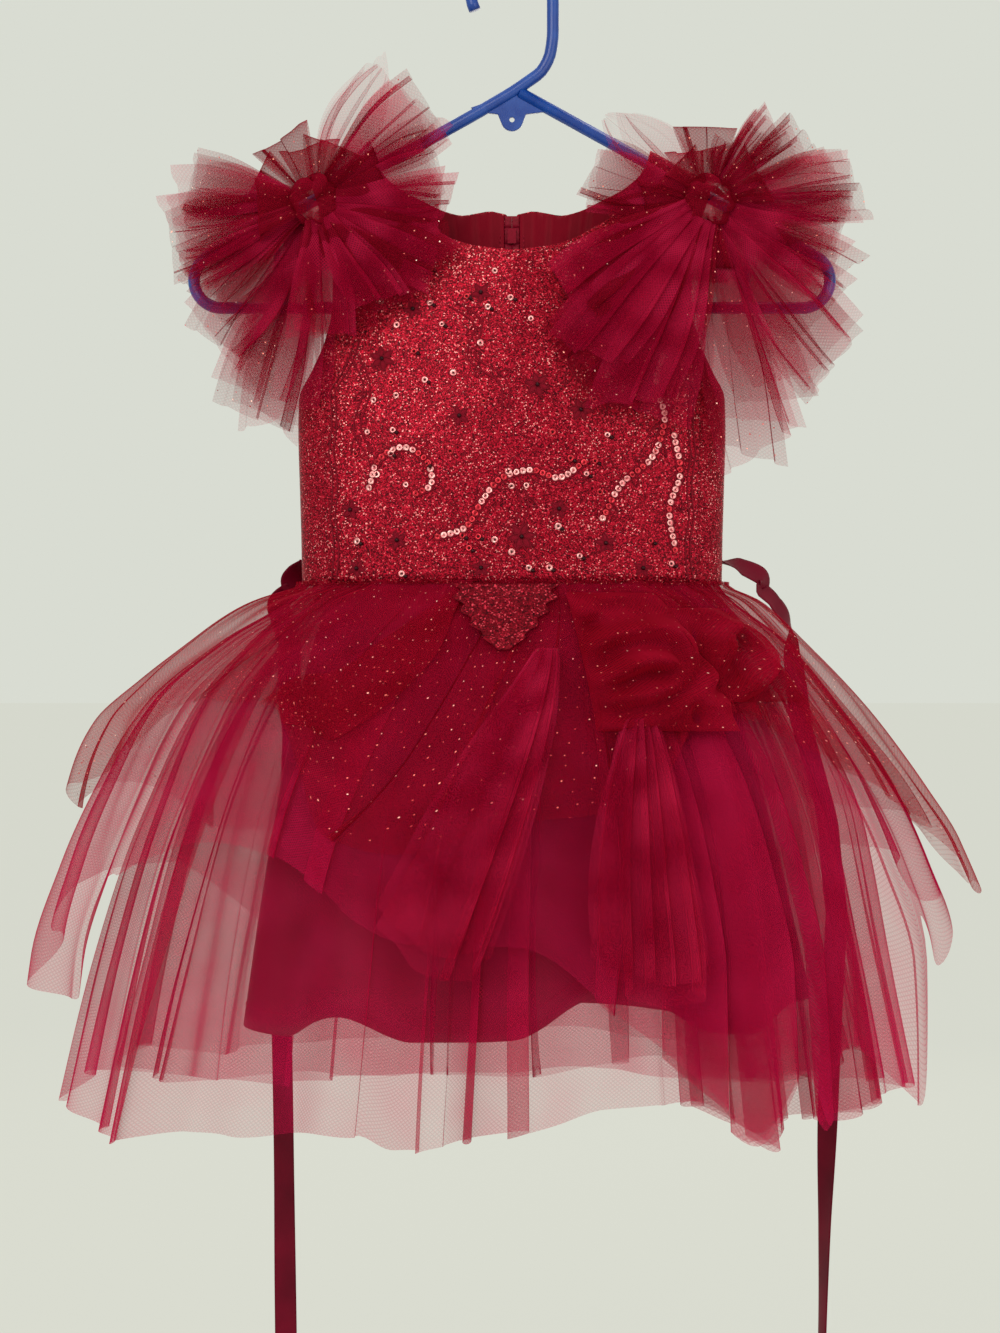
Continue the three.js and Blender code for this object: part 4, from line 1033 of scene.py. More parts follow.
# by height: degrees round the skirt, how far the ribbon is turned, how far it stands off
ties = {
    "sash_left": (
        [[-398, 249], [-410, 247], [-424, 239], [-440, 228], [-460, 221], [-520, 213], [-640, 211],
         [-985, 209.7]],
        [[-398, 0], [-412, 25], [-440, 0], [-640, 0], [-985, 20]],
        [[-398, 2.9], [-404, 12], [-412, 18], [-424, 13], [-440, 8], [-460, 4], [-500, 4], [-640, 6]]),
    "sash_right": (
        [[-398, 111], [-424, 112], [-460, 118], [-520, 126], [-640, 134], [-985, 136.8]],
        [[-398, 0], [-399.5, 25], [-401, 60], [-410, 80], [-430, 80], [-450, 45], [-470, 22], [-490, 6],
         [-520, 0], [-640, 0], [-760, 10], [-860, 48], [-985, 60]],
        [[-398, 2.9], [-401, 22], [-410, 40], [-427, 25], [-443, 22], [-460, 13], [-485, 7], [-510, 4],
         [-640, 6]]),
}


def buildTies():
    for cadNode, (path, turns, outs) in ties.items():
        angleAt, turnAt, tieOut = through(path), through(turns), through(outs)
        z = lerp(tie["top"], tie["foot"], np.linspace(0, 1, 300) ** 1.5)
        height = np.clip(z, tie["hang"], skirtTop)

        def centre(at):
            spot = ringPoint("over", angleAt(at), np.clip(at, tie["hang"], skirtTop), tieOut(at))
            spot[:, 2] = at
            return spot

        middle = centre(z)
        along = centre(z - 1) - centre(z + 1)
        along /= np.linalg.norm(along, axis=1, keepdims=True)
        flat = ringPoint("over", angleAt(z) + 1, height, 5) - ringPoint("over", angleAt(z) - 1, height, 5)
        flat[:, 2] = 0
        flat -= along * np.einsum("ij,ij->i", flat, along)[:, None]
        flat /= np.linalg.norm(flat, axis=1, keepdims=True)
        side = np.cross(along, flat)
        turn = np.radians(turnAt(z) + 3 * np.sin(z / 31))[:, None]
        across = flat * np.cos(turn) + side * np.sin(turn)
        face = np.cross(across, along)
        share = np.linspace(-1, 1, 9)
        cup = 0.7 * (share ** 2 - 0.5) * np.sin(z / 47)[:, None]
        points = middle[:, None] + across[:, None] * (share * tie["wide"] / 2)[None, :, None]
        points = points + face[:, None] * cup[..., None]
        item = clothWall(camel(cadNode) + "Ribbon", points, tie["thick"])
        place(item, "ribbon", [cadNode], "ribbon")


buildTies()
print("ties made")

knot = {"x": 128.0, "z": -164.0, "radius": 15.0, "frontSeat": 9.1, "backSeat": 8.2, "front": 30.4}
# how far from the middle of the knot a fan starts, how far it stands off, and how it leans out
levels = {"low": (16.1, 15.2, 0.02), "middle": (16.1, 21.4, 0.07), "high": (14.2, 27.0, 0.17)}
# how densely the net lies at the knot and at the ends
density = {"low": (2.8, 0.72), "middle": (3.0, 0.8), "high": (3.2, 1.3)}
# each fan's level and its reach by the direction in degrees, from the right (0) by the top (90)
fans = {
    "left": {
        "petal": ("low", [[100, 40], [80, 66], [64, 101], [52, 96]]),
        "neck": ("middle", [[58, 93], [42, 91], [26, 87], [6, 85]]),
        "upper": ("low", [[160, 68], [170, 84], [183, 97], [199, 96], [206, 88]]),
        "side": ("middle", [[199, 94], [212, 96], [226, 90]]),
        "lower": ("low", [[222, 96], [243, 120], [250, 138], [259, 150], [268, 137]]),
        "chest": ("high", [[2, 85], [-22, 91], [-50, 89], [-75, 85], [-90, 98]]),
    },
    "right": {
        "petal": ("low", [[100, 50], [112, 58], [136, 85], [155, 72]]),
        "neck": ("middle", [[152, 72], [176, 76], [194, 68], [204, 78]]),
        "upper": ("middle", [[86, 32], [60, 46], [47, 67], [22, 72]]),
        "side": ("low", [[22, 86], [13, 98], [-2, 95], [-12, 91], [-26, 86]]),
        "lower": ("middle", [[-24, 84], [-46, 105], [-55, 137], [-66, 152], [-82, 164], [-90, 142]]),
        "chest": ("high", [
            [200, 95], [211, 108], [221, 126], [232, 138], [243, 152], [256, 147], [266, 140]]),
    },
}
backFans = {
    "back_upper": ("low", [[26, 78], [8, 92], [-10, 90], [-24, 84]]),
    "back_lower": ("middle", [[-26, 90], [-48, 108], [-66, 138], [-82, 140]]),
    "back_shoulder": ("middle", [[-96, 110], [-118, 100], [-140, 88], [-160, 80]]),
}
ruffle = {
    "stripEvery": 24.0,      # degrees from one strip to the next
    "stripShare": 0.6,       # half width of a strip, as a share of its arc
    "petalShare": 0.22,
    "widest": 27.0,
    "pleatWidth": 17.0,
    "petalSheer": 0.38,
    "layers": (              # how far forward, degrees turned, share of the length, look
        (0.0, 0.0, 1.0, "ruffleTulle"), (2.6, 8.0, 0.95, "rufflePlain"), (-2.4, -8.0, 0.98, "rufflePlain")),
    "rows": 20,
    "perPleat": 13,
}
knotLoops = {"count": 5, "reach": 50.0, "half": 21.0, "rows": 24, "columns": 50}


# one strip of tulle, cut straight across, pleated at the knot and spreading a little on its way out
def stripGrid(side, facing, level, middle, length, half, seed, forward, leaf):
    root, depth, lean = levels[level]
    chance = np.random.default_rng(seed)
    pleats = max(int(2.4 * half / ruffle["pleatWidth"]), 3)
    v, u = shareGrid(ruffle["rows"], pleats * ruffle["perPleat"] + 1)
    phase, force, _ = unevenFolds(u, pleats, seed, 0.7)
    across = 2 * u - 1 + 0.62 / pleats * force * np.sin(phase)
    if leaf:
        narrow = 0.1 + 0.95 * np.sin(np.pi * np.minimum(v * 0.93 + 0.04, 1)) ** 0.8
    else:
        narrow = lerp(0.34, 1.0, smooth(v, -0.1, 0.8))
    off = across * half * narrow + chance.uniform(-0.08, 0.08) * length * v ** 2
    off = off + 2.6 * v * ripple(seed + 7, 1.5 * u, 2.6 * v)
    slant = chance.uniform(-0.22, 0.22)
    reach = length * (1 + slant * (u - 0.5)) + 0.5 * np.sin(phase + 0.6) + 1.6 * ripple(seed + 5, 3 * u)
    along = lerp(root - 1, reach, v)
    y = depth + lean * (along - root) + forward * (0.25 + 0.75 * v)
    y = y + lerp(0.6, 2.8, v) * force * np.sin(phase)
    y = y + 4.6 * v ** 1.2 * ripple(seed + 2, 2 * u, 2.2 * v) + 3.5 * v ** 2 * chance.uniform(-1, 1)
    y = np.maximum(y, 5.6 + 0.6 * np.sin(phase))
    angle = math.radians(middle)
    x = side * knot["x"] + along * math.cos(angle) - off * math.sin(angle)
    z = knot["z"] + along * math.sin(angle) + off * math.cos(angle)
    fullness = lerp(*density[level], v ** (0.5 if leaf else 1.1)) * (ruffle["petalSheer"] if leaf else 1.0)
    return np.stack([x, facing * y, z], -1), fullness


# a loop of tulle that stands out from the middle of the knot and turns back in
def loopGrid(side, facing, angle, seed):
    look = knotLoops
    chance = np.random.default_rng(seed)
    v, u = shareGrid(look["rows"], look["columns"])
    phase, force, _ = unevenFolds(u, 3, seed, 0.7)
    reach = look["reach"] * chance.uniform(0.6, 1.05)
    along = 2 + (reach - 2) * np.sin(np.pi * (0.04 + 0.9 * v)) + 2.6 * ripple(seed, 3 * u, 2 * v)
    across = (2 * u - 1 + 0.22 * force * np.sin(phase)) * look["half"] * lerp(0.3, 1.0, np.sin(np.pi * v))
    y = lerp(17.0, 30.0, smooth(v, 0.1, 0.75) - 0.5 * smooth(v, 0.8, 1.0)) + 1.6 * force * np.sin(phase)
    y = y + 3.0 * ripple(seed + 1, 2.5 * u, 2.5 * v)
    x = side * knot["x"] + along * math.cos(angle) - across * math.sin(angle)
    z = knot["z"] + along * math.sin(angle) + across * math.cos(angle)
    return np.stack([x, facing * y, z], -1), 1.8 + 0 * v


# the middle of the knot, where the strips are drawn through one another
def knotGrid(side, facing, seed):
    turns, rows = 96, 24
    t = np.linspace(0, 1, rows)
    seat = knot["frontSeat"] if facing < 0 else knot["backSeat"]
    radius = through([[0, 1.0], [0.45, 1.06], [0.72, 0.82], [0.9, 0.42], [1, 0.04]])(t)
    out = through([[0, 0], [0.45, 0.66], [0.72, 1.0], [0.9, 1.0], [1, 0.8]])(t)
    angle = np.linspace(0, 2 * np.pi, turns, endpoint=False)
    angle, radius = np.meshgrid(angle, radius)
    out = np.repeat(out[:, None], turns, 1)
    twist = angle + 1.6 * out
    folded = 1 + 0.11 * np.sin(7 * twist + seed) + 0.06 * np.sin(13 * twist)
    folded = folded + 0.05 * ripple(seed, 2 * out, 2 * np.cos(angle))
    spread = knot["radius"] * radius * folded
    crumple = 0.1 * np.sin(5 * twist + seed) * radius
    y = seat + (knot["front"] - seat) * (out * 0.92 + crumple)
    x, z = side * knot["x"] + spread * np.cos(angle), knot["z"] + spread * np.sin(angle)
    return np.stack([x, facing * y, z], -1), 3.2 + 0 * out


# several grids of cloth as one piece, with the cut of all of them together
def clothStrips(name, grids, closed=False):
    items = [clothSheet(name, points, closed, fullness) for points, fullness in grids]
    item = joined(name, items) if len(items) > 1 else items[0]
    width = length = area = 0.0
    for points, _ in grids:
        across, down = clothLengths(points, closed)
        width += across.sum(1).max()
        length = max(length, down.sum(0).mean())
        area += gridArea(points, closed)
    return item, width, length, area


def buildKnots(name, side, seed):
    for where, facing in (("Front", -1), ("Back", 1)):
        item, width, length, area = clothStrips(f"{name}Knot{where}", [knotGrid(side, facing, seed)], True)
        place(item, "ruffleTulle", [f"{name}_knot_{where.lower()}"], "glitter_tulle")
        grids = []
        for k in range(knotLoops["count"]):
            seed += 1
            angle = 2 * math.pi * (k + 0.4 * math.sin(seed)) / knotLoops["count"]
            grids.append(loopGrid(side, facing, angle, seed))
        item, width, length, area = clothStrips(f"{name}KnotLoops{where}", grids)
        place(item, "ruffleTulle", [], "glitter_tulle")
    return seed


# the strips of one layer of a fan, spread evenly over its arc
def fanStrips(side, facing, level, rows, leaf, layer, seed):
    forward, turn, shorter, _ = layer
    first, last = sorted((rows[0][0], rows[-1][0]))
    lengthAt = through(rows)
    longest = max(rows, key=lambda row: row[1])[0]
    count = 1 if leaf else max(round((last - first) / ruffle["stripEvery"]), 2)
    share = ruffle["petalShare"] if leaf else ruffle["stripShare"]
    grids = []
    for n in range(count):
        seed += 1
        middle = longest if leaf else lerp(first, last, (n + 0.5) / count)
        middle += turn * math.sin(seed) * 0.7
        middle = min(max(middle, first + 4), last - 4)
        length = (float(lengthAt(middle)) + 1.0) * shorter * (0.99 + 0.04 * math.sin(3 * seed))
        half = min(math.radians((last - first) / count) * length * share, ruffle["widest"])
        inFront = forward + 0.9 * (n % 2)
        grids.append(stripGrid(side, facing, level, middle, length, half, seed, inFront, leaf))
    return grids, seed


def buildRuffles():
    seed = 20
    for name, side in (("left", -1), ("right", 1)):
        seed = buildKnots(name, side, seed)
        wanted = [(fan, -1, level, rows) for fan, (level, rows) in fans[name].items()]
        for fan, (level, rows) in backFans.items():
            turned = rows if side > 0 else [[180 - degrees, length] for degrees, length in rows]
            wanted.append((fan, 1, level, turned))
        for fan, facing, level, rows in wanted:
            cadNode = f"{name}_fan_{fan}"
            leaf = fan == "petal"
            for k, layer in enumerate(ruffle["layers"][: 2 if leaf or facing > 0 else 3]):
                grids, seed = fanStrips(side, facing, level, rows, leaf, layer, seed)
                item, width, length, area = clothStrips(camel(cadNode) + "ABC"[k], grids)
                place(item, "rufflePlain" if leaf else layer[3], [] if k else [cadNode], "glitter_tulle")


buildRuffles()
print("ruffles made")


# what repeats or follows a path: a small Geometry Nodes tree is run once and its result made plain

def geometryTree(name, sockets):
    tree = bpy.data.node_groups.new(name, "GeometryNodeTree")
    tree.interface.new_socket("Geometry", in_out="INPUT", socket_type="NodeSocketGeometry")
    for label, (kind, value) in sockets.items():
        made = tree.interface.new_socket(label, in_out="INPUT", socket_type=kind)
        if value is not None:
            made.default_value = value
    tree.interface.new_socket("Geometry", in_out="OUTPUT", socket_type="NodeSocketGeometry")
    return tree, node(tree, "NodeGroupInput").outputs


def endTree(tree, geometry, material):
    real = node(tree, "GeometryNodeRealizeInstances", {"Geometry": geometry})
    dressed = node(tree, "GeometryNodeSetMaterial", {"Geometry": real.outputs[0], "Material": material})
    node(tree, "NodeGroupOutput", {"Geometry": dressed.outputs[0]})


# a round cord laid along each line of the mesh
def cordTree():
    tree, given = geometryTree("cordAlongPath", {
        "Radius": ("NodeSocketFloat", 0.0005), "Spacing": ("NodeSocketFloat", 0.0015),
        "Sides": ("NodeSocketInt", 6), "Material": ("NodeSocketMaterial", None)})
    line = node(tree, "GeometryNodeMeshToCurve", {"Mesh": given["Geometry"]})
    even = node(tree, "GeometryNodeResampleCurve", {
        "Curve": line.outputs[0], "Length": given["Spacing"]}, mode="LENGTH")
    circle = node(tree, "GeometryNodeCurvePrimitiveCircle", {
        "Resolution": given["Sides"], "Radius": given["Radius"]})
    tube = node(tree, "GeometryNodeCurveToMesh", {
        "Curve": even.outputs[0], "Profile Curve": circle.outputs[0], "Fill Caps": True})
    endTree(tree, tube.outputs[0], given["Material"])
    return tree


# one shape on each point, its Z along the point's outward line, its X along the line of the row
def rowTree():
    tree, given = geometryTree("shapeOnPoints", {
        "Shape": ("NodeSocketObject", None), "Spin": ("NodeSocketFloat", 0.0), "Seed": ("NodeSocketInt", 1),
        "Tilt": ("NodeSocketFloat", 0.0), "Material": ("NodeSocketMaterial", None)})
    shape = node(tree, "GeometryNodeObjectInfo", {"Object": given["Shape"]})

    def named(kind, label):
        found = node(tree, "GeometryNodeInputNamedAttribute", {"Name": label}, data_type=kind)
        return found.outputs["Attribute"]

    facing = node(tree, "FunctionNodeAlignRotationToVector", {
        "Vector": named("FLOAT_VECTOR", "outward")}, axis="Z")
    along = node(tree, "FunctionNodeAlignRotationToVector", {
        "Rotation": facing.outputs[0], "Vector": named("FLOAT_VECTOR", "along")}, axis="X", pivot_axis="Z")
    placed = node(tree, "GeometryNodeInstanceOnPoints", {
        "Points": given["Geometry"], "Instance": shape.outputs["Geometry"], "Rotation": along.outputs[0],
        "Scale": named("FLOAT", "size")})
    index = node(tree, "GeometryNodeInputIndex").outputs[0]
    spin = node(tree, "FunctionNodeRandomValue", {
        "ID": index, "Seed": given["Seed"]}, data_type="FLOAT_VECTOR")
    spin.inputs[0].default_value = (-1, -1, -1)
    spin.inputs[1].default_value = (1, 1, 1)
    parts = node(tree, "ShaderNodeSeparateXYZ", {"Vector": spin.outputs[0]})
    turn = node(tree, "ShaderNodeCombineXYZ", {
        "X": calc(tree, "MULTIPLY", parts.outputs[0], given["Tilt"]),
        "Y": calc(tree, "MULTIPLY", parts.outputs[1], given["Tilt"]),
        "Z": calc(tree, "MULTIPLY", parts.outputs[2], given["Spin"])})
    turned = node(tree, "GeometryNodeRotateInstances", {
        "Instances": placed.outputs[0], "Rotation": turn.outputs[0]})
    endTree(tree, turned.outputs[0], given["Material"])
    return tree


# runs a tree on an item and keeps the result as a plain mesh
def runTree(name, item, tree, values):
    modifier = item.modifiers.new(name, "NODES")
    modifier.node_group = tree
    for socket in tree.interface.items_tree:
        if socket.in_out == "INPUT" and socket.name in values:
            modifier[socket.identifier] = values[socket.name]
    bpy.context.view_layer.update()
    evaluated = item.evaluated_get(bpy.context.evaluated_depsgraph_get())
    mesh = bpy.data.meshes.new_from_object(evaluated)
    mesh.name = name
    made = bpy.data.objects.new(name, mesh)
    bpy.context.scene.collection.objects.link(made)
    bpy.data.objects.remove(item)
    return made


def linesItem(lines):
    points, edges = [], []
    for line in lines:
        start = len(points)
        points += [tuple(p * mm) for p in np.asarray(line, float)]
        edges += [(start + i, start + i + 1) for i in range(len(line) - 1)]
    mesh = bpy.data.meshes.new("lines")
    mesh.from_pydata(points, edges, [])
    item = bpy.data.objects.new("lines", mesh)
    bpy.context.scene.collection.objects.link(item)
    return item


def pointsItem(points, outward, along, sizes):
    mesh = bpy.data.meshes.new("spots")
    mesh.from_pydata([tuple(p * mm) for p in points], [], [])
    for label, kind, values in (("outward", "FLOAT_VECTOR", outward), ("along", "FLOAT_VECTOR", along)):
        layer = mesh.attributes.new(label, kind, "POINT")
        layer.data.foreach_set("vector", np.asarray(values, np.float32).ravel())
    layer = mesh.attributes.new("size", "FLOAT", "POINT")
    layer.data.foreach_set("value", np.asarray(sizes, np.float32).ravel())
    item = bpy.data.objects.new("spots", mesh)
    bpy.context.scene.collection.objects.link(item)
    return item


trees = {"cord": cordTree(), "row": rowTree()}


def cordPiece(name, lines, radius, look, slotName, sides=6, spacing=1.5):
    item = runTree(name, linesItem(lines), trees["cord"], {
        "Radius": radius * mm, "Spacing": spacing * mm, "Sides": sides, "Material": looks[look]})
    return place(item, look, (), slotName)


def rowPiece(name, points, outward, along, sizes, shape, look, slotName, spin=0.0, tilt=0.0, seed=1):
    item = runTree(name, pointsItem(points, outward, along, sizes), trees["row"], {
        "Shape": shape, "Spin": spin, "Tilt": tilt, "Seed": seed, "Material": looks[look]})
    return place(item, look, (), slotName)


# a turned profile of (radius, height) in millimetres, closed all round
def turnedShape(name, profile, sides):
    angle = np.linspace(0, 2 * np.pi, sides, endpoint=False)
    profile = np.array(profile, float)
    points = np.stack([
        profile[:, :1] * np.cos(angle), profile[:, :1] * np.sin(angle),
        np.repeat(profile[:, 1:], sides, 1)], -1).reshape(-1, 3)
    return shapeItem(name, points, gridFaces(len(profile), sides, True))


def shapeItem(name, points, faces):
    item = meshObject(name, points, faces)
    mesh = bmesh.new()
    mesh.from_mesh(item.data)
    bmesh.ops.remove_doubles(mesh, verts=mesh.verts, dist=1e-6)
    bmesh.ops.recalc_face_normals(mesh, faces=mesh.faces)
    mesh.to_mesh(item.data)
    mesh.free()
    bpy.context.scene.collection.objects.unlink(item)
    return item


shapes = {
    # a cupped 4.6 mm sequin with its hole, its back wall closed under it
    "sequin": turnedShape("sequinShape", [
        [0.45, 0.15], [1.3, 0.2], [2.3, 0.75], [2.3, 0.6], [1.3, 0.05], [0.45, 0.0], [0.45, 0.15]], 14),
    "bead": turnedShape("beadShape", [
        [0.01, 0.0], [1.0, 0.15], [1.45, 1.0], [1.15, 1.9], [0.45, 2.25], [0.01, 2.3]], 10),
    "seed": turnedShape("seedShape", [[0.01, 0.0], [0.7, 0.15], [0.8, 0.6], [0.5, 1.0], [0.01, 1.1]], 8),
    "stitch": turnedShape("stitchShape", [
        [0.01, -0.5], [0.16, -0.36], [0.2, 0.0], [0.16, 0.36], [0.01, 0.5]], 6),
    "coilLink": turnedShape("coilLinkShape", [
        [0.01, -1.9], [0.34, -1.7], [0.42, -0.6], [0.36, 0.0], [0.42, 0.6], [0.34, 1.7], [0.01, 1.9]], 8),
}


lace = {
    "out": 0.8 + seamGap + 0.5 + 0.25,
    "thickness": 0.5,
    "vines": [
        [[-92, -352], [-86, -334], [-70, -326], [-55, -335], [-52, -350], [-62, -356]],
        [[-48, -384], [-30, -378], [-20, -362], [-8, -347], [12, -341], [30, -346], [46, -336]],
        [[98, -262], [92, -286], [98, -306], [90, -332], [70, -350], [58, -372]],
        [[104, -318], [108, -342], [101, -366], [105, -392]],
        [[-104, -262], [-94, -286], [-100, -312], [-92, -330]],
        [[-40, -232], [-22, -246], [-26, -268], [-6, -284], [-4, -304]],
        [[30, -224], [44, -246], [38, -270], [56, -292], [84, -300]],
        [[2, -346], [8, -364], [2, -384], [10, -398]],
    ],
    "sequinned": [0, 1, 2, 3],
    "flowers": [
        [-84, -268, 8.5], [-34, -306, 7], [16, -286, 8.5], [44, -302, 8], [6, -384, 9.5], [-74, -386, 6.5],
        [-104, -366, 6.5], [60, -388, 7], [100, -232, 7], [-20, -226, 7], [-64, -236, 6.5], [30, -366, 6.5],
        [-20, -404, 6], [84, -404, 6], [-100, -404, 6], [62, -252, 6.5]],
    "sequins": 64,           # loose ones, between the rows
    "beads": 30,
    "apart": 8.5,            # least distance between loose sequins
    "sequinRow": 4.3,        # from one sequin of a row to the next
    "edgeShare": 0.845,      # where the scalloped side edges run
    "scallop": 13,
    "vineHalf": 2.3,         # half the way between the two cords of a vine
    "drop": 16,              # below the neck edge
    "seed": 11,
}
petalGrid = (7, 5)


# points on the outside of the lace, and its normals
def onLace(x, z, lift=0.0):
    x, z = np.asarray(x, float), np.asarray(z, float)
    out = lace["out"] + lace["thickness"] / 2 + lift
    return bodiceSurface(-1, x, z, np.full(x.shape, out), bodiceCrease(x, z))


def laceLine(flat, lift=0.25):
    return onLace(flat[:, 0], flat[:, 1], lift)[0]


def beside(line, away):
    along = np.gradient(line, axis=0)
    along /= np.linalg.norm(along, axis=1, keepdims=True)
    return line + np.stack([along[:, 1], -along[:, 0]], -1) * away


def swung(x, z, angle, run, off):
    east, north = math.cos(angle), math.sin(angle)
    return x + run * east - off * north, z + run * north + off * east


# the outline of one pointed petal or leaf, from its root
def leafOutline(x, z, angle, length, wide, count=9):
    t = np.linspace(0, 1, count)
    half = wide * np.sin(np.pi * t ** 0.8) * (1 - 0.15 * t)
    run = np.concatenate([t, t[::-1][1:]]) * length
    off = np.concatenate([half, -half[::-1][1:]])
    return np.stack(swung(x, z, angle, run, off), -1)


# a padded satin-stitch petal, high along its middle
def petalMesh(x, z, angle, length, wide, lift):
    t = np.linspace(0.02, 0.98, petalGrid[0])
    s = np.linspace(-1, 1, petalGrid[1])
    half = wide * np.sin(np.pi * t ** 0.8)
    run, off = np.meshgrid(t * length, s, indexing="ij")
    px, pz = swung(x, z, angle, run, off * half[:, None])
    high = 0.75 * (1 - s[None] ** 2) * np.sin(np.pi * t)[:, None] ** 0.6
    point, normal = onLace(px, pz, 0)
    return point + normal * (lift + high)[..., None]


# double cords along each vine, leaves on both sides of it and the rows of sequins between the cords
def laceVines(chance):
    cords, leaves, spots = [], [], []
    for k, corners in enumerate(lace["vines"]):
        line = smoothLine(corners)
        for away in (-lace["vineHalf"], lace["vineHalf"]):
            cords.append(laceLine(beside(line, away)))
        if k in lace["sequinned"]:
            spots += list(smoothLine(corners, lace["sequinRow"]))
        count = max(len(line) // 9, 2)
        for i in range(1, count):
            n = i * len(line) // count
            at = line[n]
            along = line[min(n + 1, len(line) - 1)] - line[n - 1]
            side = 1 if i % 2 else -1
            angle = math.atan2(along[1], along[0]) + side * chance.uniform(0.7, 1.1)
            size = chance.uniform(9, 14)
            leaves.append(laceLine(leafOutline(at[0], at[1], angle, size, size * 0.22)))
    return cords, leaves, spots


# each flower's corded outlines and padded petals
def laceFlowers(chance):
    outlines, petals = [], []
    for x, z, size in lace["flowers"]:
        turn = chance.uniform(0, 1)
        petalCount = 5 if size < 8 else 6
        for k in range(petalCount):
            angle = turn + k * 2 * math.pi / petalCount
            outlines.append(laceLine(leafOutline(x, z, angle, size, size * 0.27), 0.45))
            petals.append(petalMesh(x, z, angle, size * 0.97, size * 0.24, 0.1))
    return outlines, petals


# two cords down each scalloped side edge
def laceEdges():
    edges = []
    for side in (-1, 1):
        z = np.linspace(-411, -255, 120)
        x = side * (bodiceHalf(z) * lace["edgeShare"] - 2.2 * np.abs(np.sin((z + 411) / lace["scallop"])))
        edges.append(laceLine(np.stack([x, z], -1), 0.35))
        edges.append(laceLine(np.stack([x - side * 3.1, z], -1), 0.3))
    return edges


# unevenly spaced places inside the panel's edges, away from the flowers and from each other
def loosePlaces(chance):
    taken = [np.array([x, z]) for x, z, _ in lace["flowers"]]
    loose = []
    while len(loose) < lace["sequins"]:
        x, z = chance.uniform(-108, 108), chance.uniform(-410, -205)
        top = float(topEdge(np.array(x / 138), frontNeck, lace["drop"])) - 7
        if z > top or abs(x) > 0.82 * float(bodiceHalf(z)):
            continue
        here = np.array([x, z])
        if all(np.linalg.norm(here - other) > lace["apart"] for other in taken):
            taken.append(here)
            loose.append(here)
    return loose


# one piece of sequins or beads that stand off the lace by lift
def sewnOn(name, spots, lift, sizes, shape, look, **ways):
    points, normals = onLace(spots[:, 0], spots[:, 1], lift)
    along = np.tile([1.0, 0, 0], (len(spots), 1))
    return rowPiece(name, points, normals, along, sizes, shapes[shape], look, "lace", **ways)


def buildLace():
    shares = np.unique(np.concatenate([evenShares(75, -0.86, 0.86), [0]]))
    rows = lerp(0.006, 0.985, 1 - (1 - np.linspace(0, 1, 64)) ** 1.4)
    item, _ = bodicePanel("frontLacePanel", -1, frontNeck, shares, rows, lace["out"], lace["thickness"],
                          drop=lace["drop"])
    place(item, "lace", ["front_lace"], "lace")

    chance = np.random.default_rng(lace["seed"])
    cords, leaves, rowSpots = laceVines(chance)
    outlines, petals = laceFlowers(chance)
    merged = np.concatenate([petal.reshape(-1, 3) for petal in petals])
    faces = gridFaces(*petalGrid, False)
    allFaces = np.concatenate([faces + petalGrid[0] * petalGrid[1] * k for k in range(len(petals))])
    pieces = [
        place(meshObject("laceSatinPetals", merged, allFaces), "petal", (), "lace"),
        cordPiece("laceVineCords", cords, 0.6, "petal", "lace", 6, 1.6),
        cordPiece("laceLeafCords", leaves + outlines, 0.42, "cord", "lace", 5, 1.3),
        cordPiece("laceEdgeCords", laceEdges(), 0.5, "cord", "lace", 6, 1.6),
    ]

    loose = loosePlaces(chance)
    spots = np.array(rowSpots + loose)
    sizes = np.array([0.92] * len(rowSpots) + [chance.uniform(0.8, 1.0) for _ in loose])
    # painted glint: about half of the sequins, in runs along the rows, get the pale copy of the film
    bright = np.sin(0.9 * np.arange(len(spots))) + chance.uniform(-0.6, 0.6, len(spots)) > -0.2
    flowers = [[x, z] for x, z, _ in lace["flowers"]]
    centres = np.array(flowers + [list(spot) for spot in loose[:: len(loose) // lace["beads"]]])
    centres[len(flowers):] += (2.6, -1.8)
    pieces += [
        sewnOn("frontSequinsPale", spots[bright], 0.35, sizes[bright], "sequin", "sequin",
               spin=3.1, tilt=0.22, seed=4),
        sewnOn("frontSequinsDeep", spots[~bright], 0.35, sizes[~bright], "sequin", "sequinDeep",
               spin=3.1, tilt=0.22, seed=4),
        sewnOn("frontCutBeads", centres, 0.35, np.ones(len(centres)), "bead", "bead", spin=3.1, seed=6),
        sewnOn("frontSeedBeads", np.array(loose), 0.55, np.full(len(loose), 0.75), "seed", "bead", seed=8),
    ]
    laceGrid(shares, rows)


# the panel's points on the flat cloth, without its slack
def laceGrid(shares, rows):
    share, v = np.meshgrid(shares, rows)
    z = lerp(bodice["waistZ"], topEdge(share, frontNeck, lace["drop"]), v)
    return bodiceSurface(-1, share * bodiceHalf(z), z, np.full(share.shape, lace["out"]))[0]


buildLace()
print("lace, sequins and beads made")

# the zip in the middle of the back; the slot leaves room for the slider
zipSizes = {
    "tapeHalf": 4.9,
    "slot": (-186.6, -175.9),
    "pitch": 1.25,
    "coilTop": -190.0,
    "coilBottom": -410.0,
    "bottom": -411.0,
    "thick": 0.7,
}


def backStrip(x0, x1, z0, z1, out, columns, rows):
    x, z = np.meshgrid(np.linspace(x0, x1, columns), np.linspace(z0, z1, rows))
    return bodiceSurface(1, x, z, np.full(x.shape, out))


